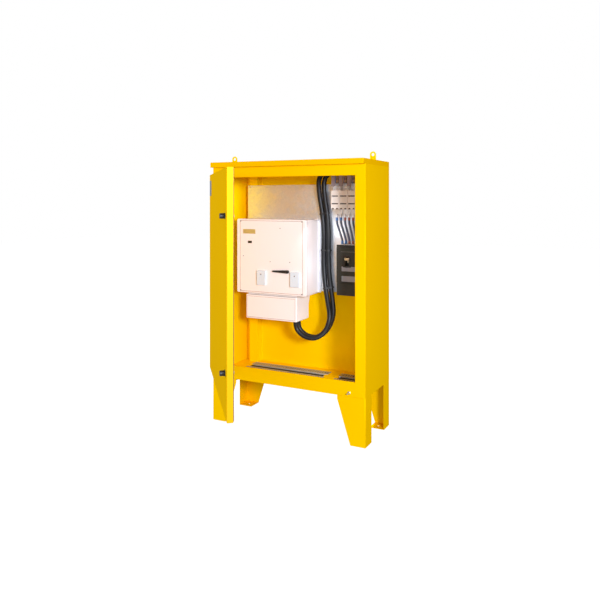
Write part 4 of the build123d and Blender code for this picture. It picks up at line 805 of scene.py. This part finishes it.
breaker = Finish("breaker_moulding", Specular_IOR_Level=0.2)
breaker_grain = breaker.noise(700, 3)
breaker.feed(
    Base_Color=breaker.mixed(breaker.noise(25, 3), OLIVE_BLACK, OLIVE_GREY),
    Roughness=breaker_grain * 0.15 + 0.4,
)
breaker.bump(breaker_grain, 0.00006, 0.6)
for name in ("breaker_case", "breaker_cover", "breaker_terminal_covers"):
    coat(name, breaker, MOULDED_EDGE)

# Marker sleeves where the cables enter the breaker: heat-shrunk tubes in the poles' colours, just
# above the case. Each height over the case is given with the sleeve's radius there.
BREAKER_PITCH = 0.0465
CABLE_DEPTH = 0.0975
SLEEVE_SIDES = 20
SLEEVE_SHAPE = ((0.001, 0.0065), (0.002, 0.0072), (0.0205, 0.0072), (0.0215, 0.0065))

breaker_low, breaker_high = corners("breaker_case")
first_breaker_pole = (breaker_low.x + breaker_high.x) / 2 - 1.5 * BREAKER_PITCH
for i, finish in enumerate(sleeve_finishes):
    for side, tag in ((-1, "a"), (1, "b")):
        x = first_breaker_pole + i * BREAKER_PITCH + side * BREAKER_PITCH / 4
        points = [Vector((x, CABLE_DEPTH, breaker_high.z + height)) for height, _ in SLEEVE_SHAPE]
        radii = [radius for _, radius in SLEEVE_SHAPE]
        round_tube(f"lower_sleeve_{i + 1}{tag}", points, radii, SLEEVE_SIDES, finish)

# Plates of the breaker: two blank strips of grey film, pressed into shallow beds in the raised nose
# under the toggle. Each level is given with its plate's height.
FILM_GREY = (0.24, 0.24, 0.27, 1)
FILM_GREY_LIGHT = (0.30, 0.30, 0.34, 1)
NOSE_FRONT = 0.029
LET_IN = 0.0004
FILM_MIDDLE = 0.321
FILM_LEVELS = ((0.943, 0.028), (0.8845, 0.033))
FILM_WIDTH = 0.118
FILM_CORNER = 0.002
FILM_PROUD = 0.0006
THIN_EDGE = 0.0002

grey_film = Finish("blank_breaker_plates", Roughness=0.5)
grey_film.feed(Base_Color=grey_film.mixed(grey_film.noise(900), FILM_GREY, FILM_GREY_LIGHT))
flat_pieces(
    "breaker_plates",
    [rounded((FILM_MIDDLE, level), (FILM_WIDTH, tall), FILM_CORNER) for level, tall in FILM_LEVELS],
    NOSE_FRONT - FILM_PROUD, NOSE_FRONT + LET_IN, grey_film, edge=THIN_EDGE,
)

# Rib and slot frame of the breaker: a paler rib is moulded across the nose under its top edge, and a
# black frame is clipped round the slot that the toggle swings in.
RIB_GREY = (0.13, 0.13, 0.12, 1)
RIB_GREY_LIGHT = (0.17, 0.17, 0.15, 1)
BREAKER_MIDDLE = 0.3195
RIB_LEVEL = 1.0445
RIB_SIZE = (0.124, 0.0022)
RIB_CORNER = 0.0008
RIB_PROUD = 0.0008
SLOT_FRAME = (0.2715, 0.3215, 0.952, 1.022)
SLOT_FRAME_WIDTH = 0.005
SLOT_FRAME_PROUD = 0.0014
SLOT_FRAME_EDGE = 0.0006

rib_grey = Finish("breaker_rib", Roughness=0.4)
rib_grey.feed(Base_Color=rib_grey.mixed(rib_grey.noise(60), RIB_GREY, RIB_GREY_LIGHT))
flat_pieces(
    "breaker_rib", [rounded((BREAKER_MIDDLE, RIB_LEVEL), RIB_SIZE, RIB_CORNER)],
    NOSE_FRONT - RIB_PROUD, NOSE_FRONT + LET_IN, rib_grey, edge=THIN_EDGE,
)
flat_pieces(
    "toggle_frame", mitred_frame(*SLOT_FRAME, SLOT_FRAME_WIDTH),
    NOSE_FRONT - SLOT_FRAME_PROUD, NOSE_FRONT + LET_IN, nylon, edge=SLOT_FRAME_EDGE,
)

# Wire entries and bead of the breaker: a row of small openings along the upper terminal cover, drawn
# as flat dark patches of painted shade, and the pale moulded bead that stands on the case behind it.
ENTRIES = 16
ENTRY_LEVEL = 1.0775
ENTRY_SIZE = (0.0072, 0.0085)
ENTRY_CORNER = 0.001
ENTRY_FRONT, ENTRY_BACK = 0.0367, 0.0374
BEAD_SIZE = (0.182, 0.0024)
BEAD_CORNER = 0.0008
BEAD_EDGE = 0.0004
BEAD_FRONT, BEAD_BACK = 0.040, 0.052

first_entry = first_breaker_pole - BREAKER_PITCH * 0.375
entries = [
    rounded((first_entry + i * BREAKER_PITCH / 4, ENTRY_LEVEL), ENTRY_SIZE, ENTRY_CORNER)
    for i in range(ENTRIES)
]
flat_pieces("wire_entries", entries, ENTRY_FRONT, ENTRY_BACK, painted_hole_shade)
flat_pieces(
    "cover_bead", [rounded((BREAKER_MIDDLE, breaker_high.z + BEAD_SIZE[1] / 2), BEAD_SIZE, BEAD_CORNER)],
    BEAD_FRONT, BEAD_BACK, cream, edge=BEAD_EDGE,
)

# Breaker lever: an ivory moulding that swings in the slot, with a wider grip on its end for the
# thumb. The grip's outline is given in Y and Z from the lever's pivot.
IVORY = (0.80, 0.66, 0.42, 1)
IVORY_SHADE = (0.72, 0.56, 0.34, 1)
LEVER_EDGE = 0.0006
LEVER_PIVOT = (0.072, 0.988)
GRIP_PROFILE = (
    (-0.0436, 0.0205), (-0.0447, 0.0145), (-0.0505, 0.0070),
    (-0.0545, 0.0085), (-0.0535, 0.0165), (-0.0490, 0.0215),
)
GRIP_HALF_WIDTH = 0.0135
GRIP_SHIFT = 0.002
GRIP_EDGE = 0.0012

ivory = Finish("ivory_toggle", Roughness=0.3)
ivory.feed(Base_Color=ivory.mixed(ivory.noise(60), IVORY, IVORY_SHADE))
coat("breaker_lever", ivory, LEVER_EDGE)
lever_low, lever_high = corners("breaker_lever")
grip_middle = (lever_low.x + lever_high.x) / 2 + GRIP_SHIFT
flat_pieces(
    "toggle_grip", [[(LEVER_PIVOT[0] + y, LEVER_PIVOT[1] + z) for y, z in GRIP_PROFILE]],
    grip_middle - GRIP_HALF_WIDTH, grip_middle + GRIP_HALF_WIDTH, ivory, "breaker_toggle", GRIP_EDGE,
    sideways=True,
)

# Cable brushes: black nylon bristles fixed under both rails of each pair close the gap round the
# cables and keep it as dark as shade. A thin black sheet under each rail's slots is painted shade
# for the dark seen through them.
BRUSH_BLACK = (0.006, 0.006, 0.006, 1)
BRUSH_DUSTY = (0.022, 0.021, 0.019, 1)
BRISTLE_ROWS = ((0.0315, 1), (0.0805, -1))
BRISTLE_PITCH = 0.0020
BRISTLE_WIDTH = 0.0022
BRISTLE_THIN = 0.0003
BRISTLE_LENGTH = 0.0262
BRISTLE_RISE = 0.008
BRISTLE_SAG = 0.002
BRUSH_START, BRUSH_END = 0.004, 0.005
SHADE_SHEET_ROWS = ((-0.0155, 0.0300), (0.0820, 0.1275))
SHADE_SHEET_TOP = 0.2866
SHADE_SHEET_THICKNESS = 0.0014
SHADE_SHEET_SHORTER = 0.008
SHADE_SHEET_CORNER = 0.0005

brush_random = random.Random(7)
black_brush_and_slot_shade = Finish("black_brush_and_slot_shade", Roughness=0.75)
black_brush_and_slot_shade.feed(Base_Color=black_brush_and_slot_shade.mixed(black_brush_and_slot_shade.noise(500), BRUSH_BLACK, BRUSH_DUSTY))
for tag in ("left", "right"):
    rail_low, rail_high = corners("cable_rails_" + tag)
    made = bmesh.new()
    x = rail_low.x + BRUSH_START
    while x < rail_high.x - BRUSH_END:
        for root, way in BRISTLE_ROWS:
            sag = brush_random.uniform(0.0, BRISTLE_SAG)
            reach = BRISTLE_LENGTH * brush_random.uniform(0.94, 1.04)
            rings = []
            for share in (0, 0.5, 1):
                y = root + way * reach * share
                z = rail_low.z + BRISTLE_RISE - sag * share * share + (BRISTLE_THIN if way > 0 else 0)
                half = BRISTLE_WIDTH * (1 - 0.1 * share) / 2
                outline = rectangle(x - half, x + half, z - BRISTLE_THIN, z + BRISTLE_THIN)
                rings.append([made.verts.new((a, y, b)) for a, b in outline])
            for first, second in zip(rings, rings[1:]):
                for k in range(4):
                    made.faces.new((first[k], first[(k + 1) % 4], second[(k + 1) % 4], second[k]))
            made.faces.new(list(reversed(rings[0])))
            made.faces.new(rings[-1])
        x += BRISTLE_PITCH
    bmesh.ops.recalc_face_normals(made, faces=made.faces)
    finished("cable_brush_" + tag, made, black_brush_and_slot_shade)
    sheet_middle = ((rail_low.x + rail_high.x) / 2, SHADE_SHEET_TOP - SHADE_SHEET_THICKNESS / 2)
    sheet_size = (rail_high.x - rail_low.x - SHADE_SHEET_SHORTER, SHADE_SHEET_THICKNESS)
    # Painted shade: a flat black sheet under the slots, for the dark seen through them.
    for rank, (front, back) in enumerate(SHADE_SHEET_ROWS):
        flat_pieces(
            f"slot_shade_sheet_{tag}_{rank + 1}", [rounded(sheet_middle, sheet_size, SHADE_SHEET_CORNER)],
            front, back, black_brush_and_slot_shade,
        )

# Studio: a white floor in an even white surround, both seen brighter than they light the cabinet. A
# soft key stands at the right, with lamps at the left, in front, behind and above. Three small cards
# inside the cabinet, clear of its door when it is closed, light the fittings.
FLOOR_HALF = 15
FLOOR_WHITE = (0.16, 0.16, 0.16, 1)
FLOOR_SHADE = (0.15, 0.15, 0.15, 1)
WHITE = (1, 1, 1, 1)
SURROUND_LIGHT = 0.36
DAYLIGHT = (0.94, 1.0, 1.14)
MIDDLE = (0, 0, 0.9)


class Surround(Finish):
    """The studio's surround, made of the same kind of nodes as a finish."""

    def __init__(self, name):
        world = bpy.data.worlds.new(name)
        world.use_nodes = True
        bpy.context.scene.world = world
        self.tree = world.node_tree

    def feed(self, value):
        """Link a shader to the world's surface."""
        self.tree.links.new(value.socket, self.tree.nodes["World Output"].inputs["Surface"])


surround = Surround("studio")
lighting = surround.node("ShaderNodeBackground", inputs={"Color": WHITE, "Strength": SURROUND_LIGHT})
seen = surround.node("ShaderNodeBackground", inputs={"Color": WHITE, "Strength": 1.0})
by_camera = surround.node("ShaderNodeLightPath", output="Is Camera Ray")
surround.feed(surround.node("ShaderNodeMixShader", inputs={0: by_camera, 1: lighting, 2: seen}))

pale = Finish(
    "pale_floor", Roughness=0.9, Specular_IOR_Level=0.0, Emission_Strength=0.97, Emission_Color=WHITE
)
pale.feed(Base_Color=pale.mixed(pale.noise(1.5, 3), FLOOR_WHITE, FLOOR_SHADE))
made = bmesh.new()
floor_outline = rectangle(-FLOOR_HALF, FLOOR_HALF, -FLOOR_HALF, FLOOR_HALF)
made.faces.new([made.verts.new((x, y, 0)) for x, y in floor_outline])
floor = finished("floor", made, pale, body=None)
floor.visible_diffuse = False
floor.visible_glossy = False


def lamp(name, place, target, size, watts, shadow=True):
    """A round soft box. Without a shadow it stands for what white walls throw back."""
    light = bpy.data.lights.new(name, "AREA")
    light.shape = "DISK"
    light.size = size
    light.energy = watts
    light.color = DAYLIGHT
    light.use_shadow = shadow
    holder = bpy.data.objects.new(name, light)
    holder.location = place
    holder.rotation_euler = (Vector(target) - Vector(place)).to_track_quat("-Z", "Y").to_euler()
    holder.visible_camera = False
    bpy.context.scene.collection.objects.link(holder)


lamp("key", (3.2, -3.4, 1.8), MIDDLE, 0.8, 205)
lamp("left_side", (-4.6, -1.7, 1.6), (-0.3, -0.6, 0.9), 1.5, 92)
lamp("low_front", (0.0, -3.2, 0.25), (0, 0, 0.7), 1.2, 10)
lamp("wall_front", (1.2, -4.4, 1.4), MIDDLE, 1.5, 34, shadow=False)
lamp("card_low", (0.24, -0.09, 0.46), (-0.5, 0, 0.46), 0.14, 0.3)
lamp("card_middle", (0.20, -0.02, 0.95), (-0.5, 0.05, 0.9), 0.10, 0.10)
lamp("card_right", (0.12, -0.10, 1.18), (0.30, 0.13, 1.0), 0.12, 0.2)
lamp("behind", (-1.6, 4.6, 2.4), MIDDLE, 1.5, 90)
lamp("above", (-0.4, 1.3, 4.6), (0, 0.3, 1.5), 1.5, 90)

# Camera: level, at eye height, in front and to the right. Its focal length and the place of its axis
# in the picture are in pixels of the photograph's frame.
PICTURE = 600
FOCAL_PIXELS = 620.34
AXIS_PIXELS = (300.22, 199.92)
SENSOR = 36
CAMERA_PLACE = (1.7067, -3.3702, 1.3523)
CAMERA_TURN = 26.84

camera = bpy.data.objects.new("camera", bpy.data.cameras.new("camera"))
camera.data.sensor_width = SENSOR
camera.data.lens = SENSOR * FOCAL_PIXELS / PICTURE
camera.data.shift_x = (PICTURE / 2 - AXIS_PIXELS[0]) / PICTURE
camera.data.shift_y = (AXIS_PIXELS[1] - PICTURE / 2) / PICTURE
camera.location = CAMERA_PLACE
camera.rotation_euler = (math.radians(90), 0, math.radians(CAMERA_TURN))
bpy.context.scene.collection.objects.link(camera)
bpy.context.scene.camera = camera
bpy.context.scene.view_settings.view_transform = "Standard"

bpy.context.view_layer.update()
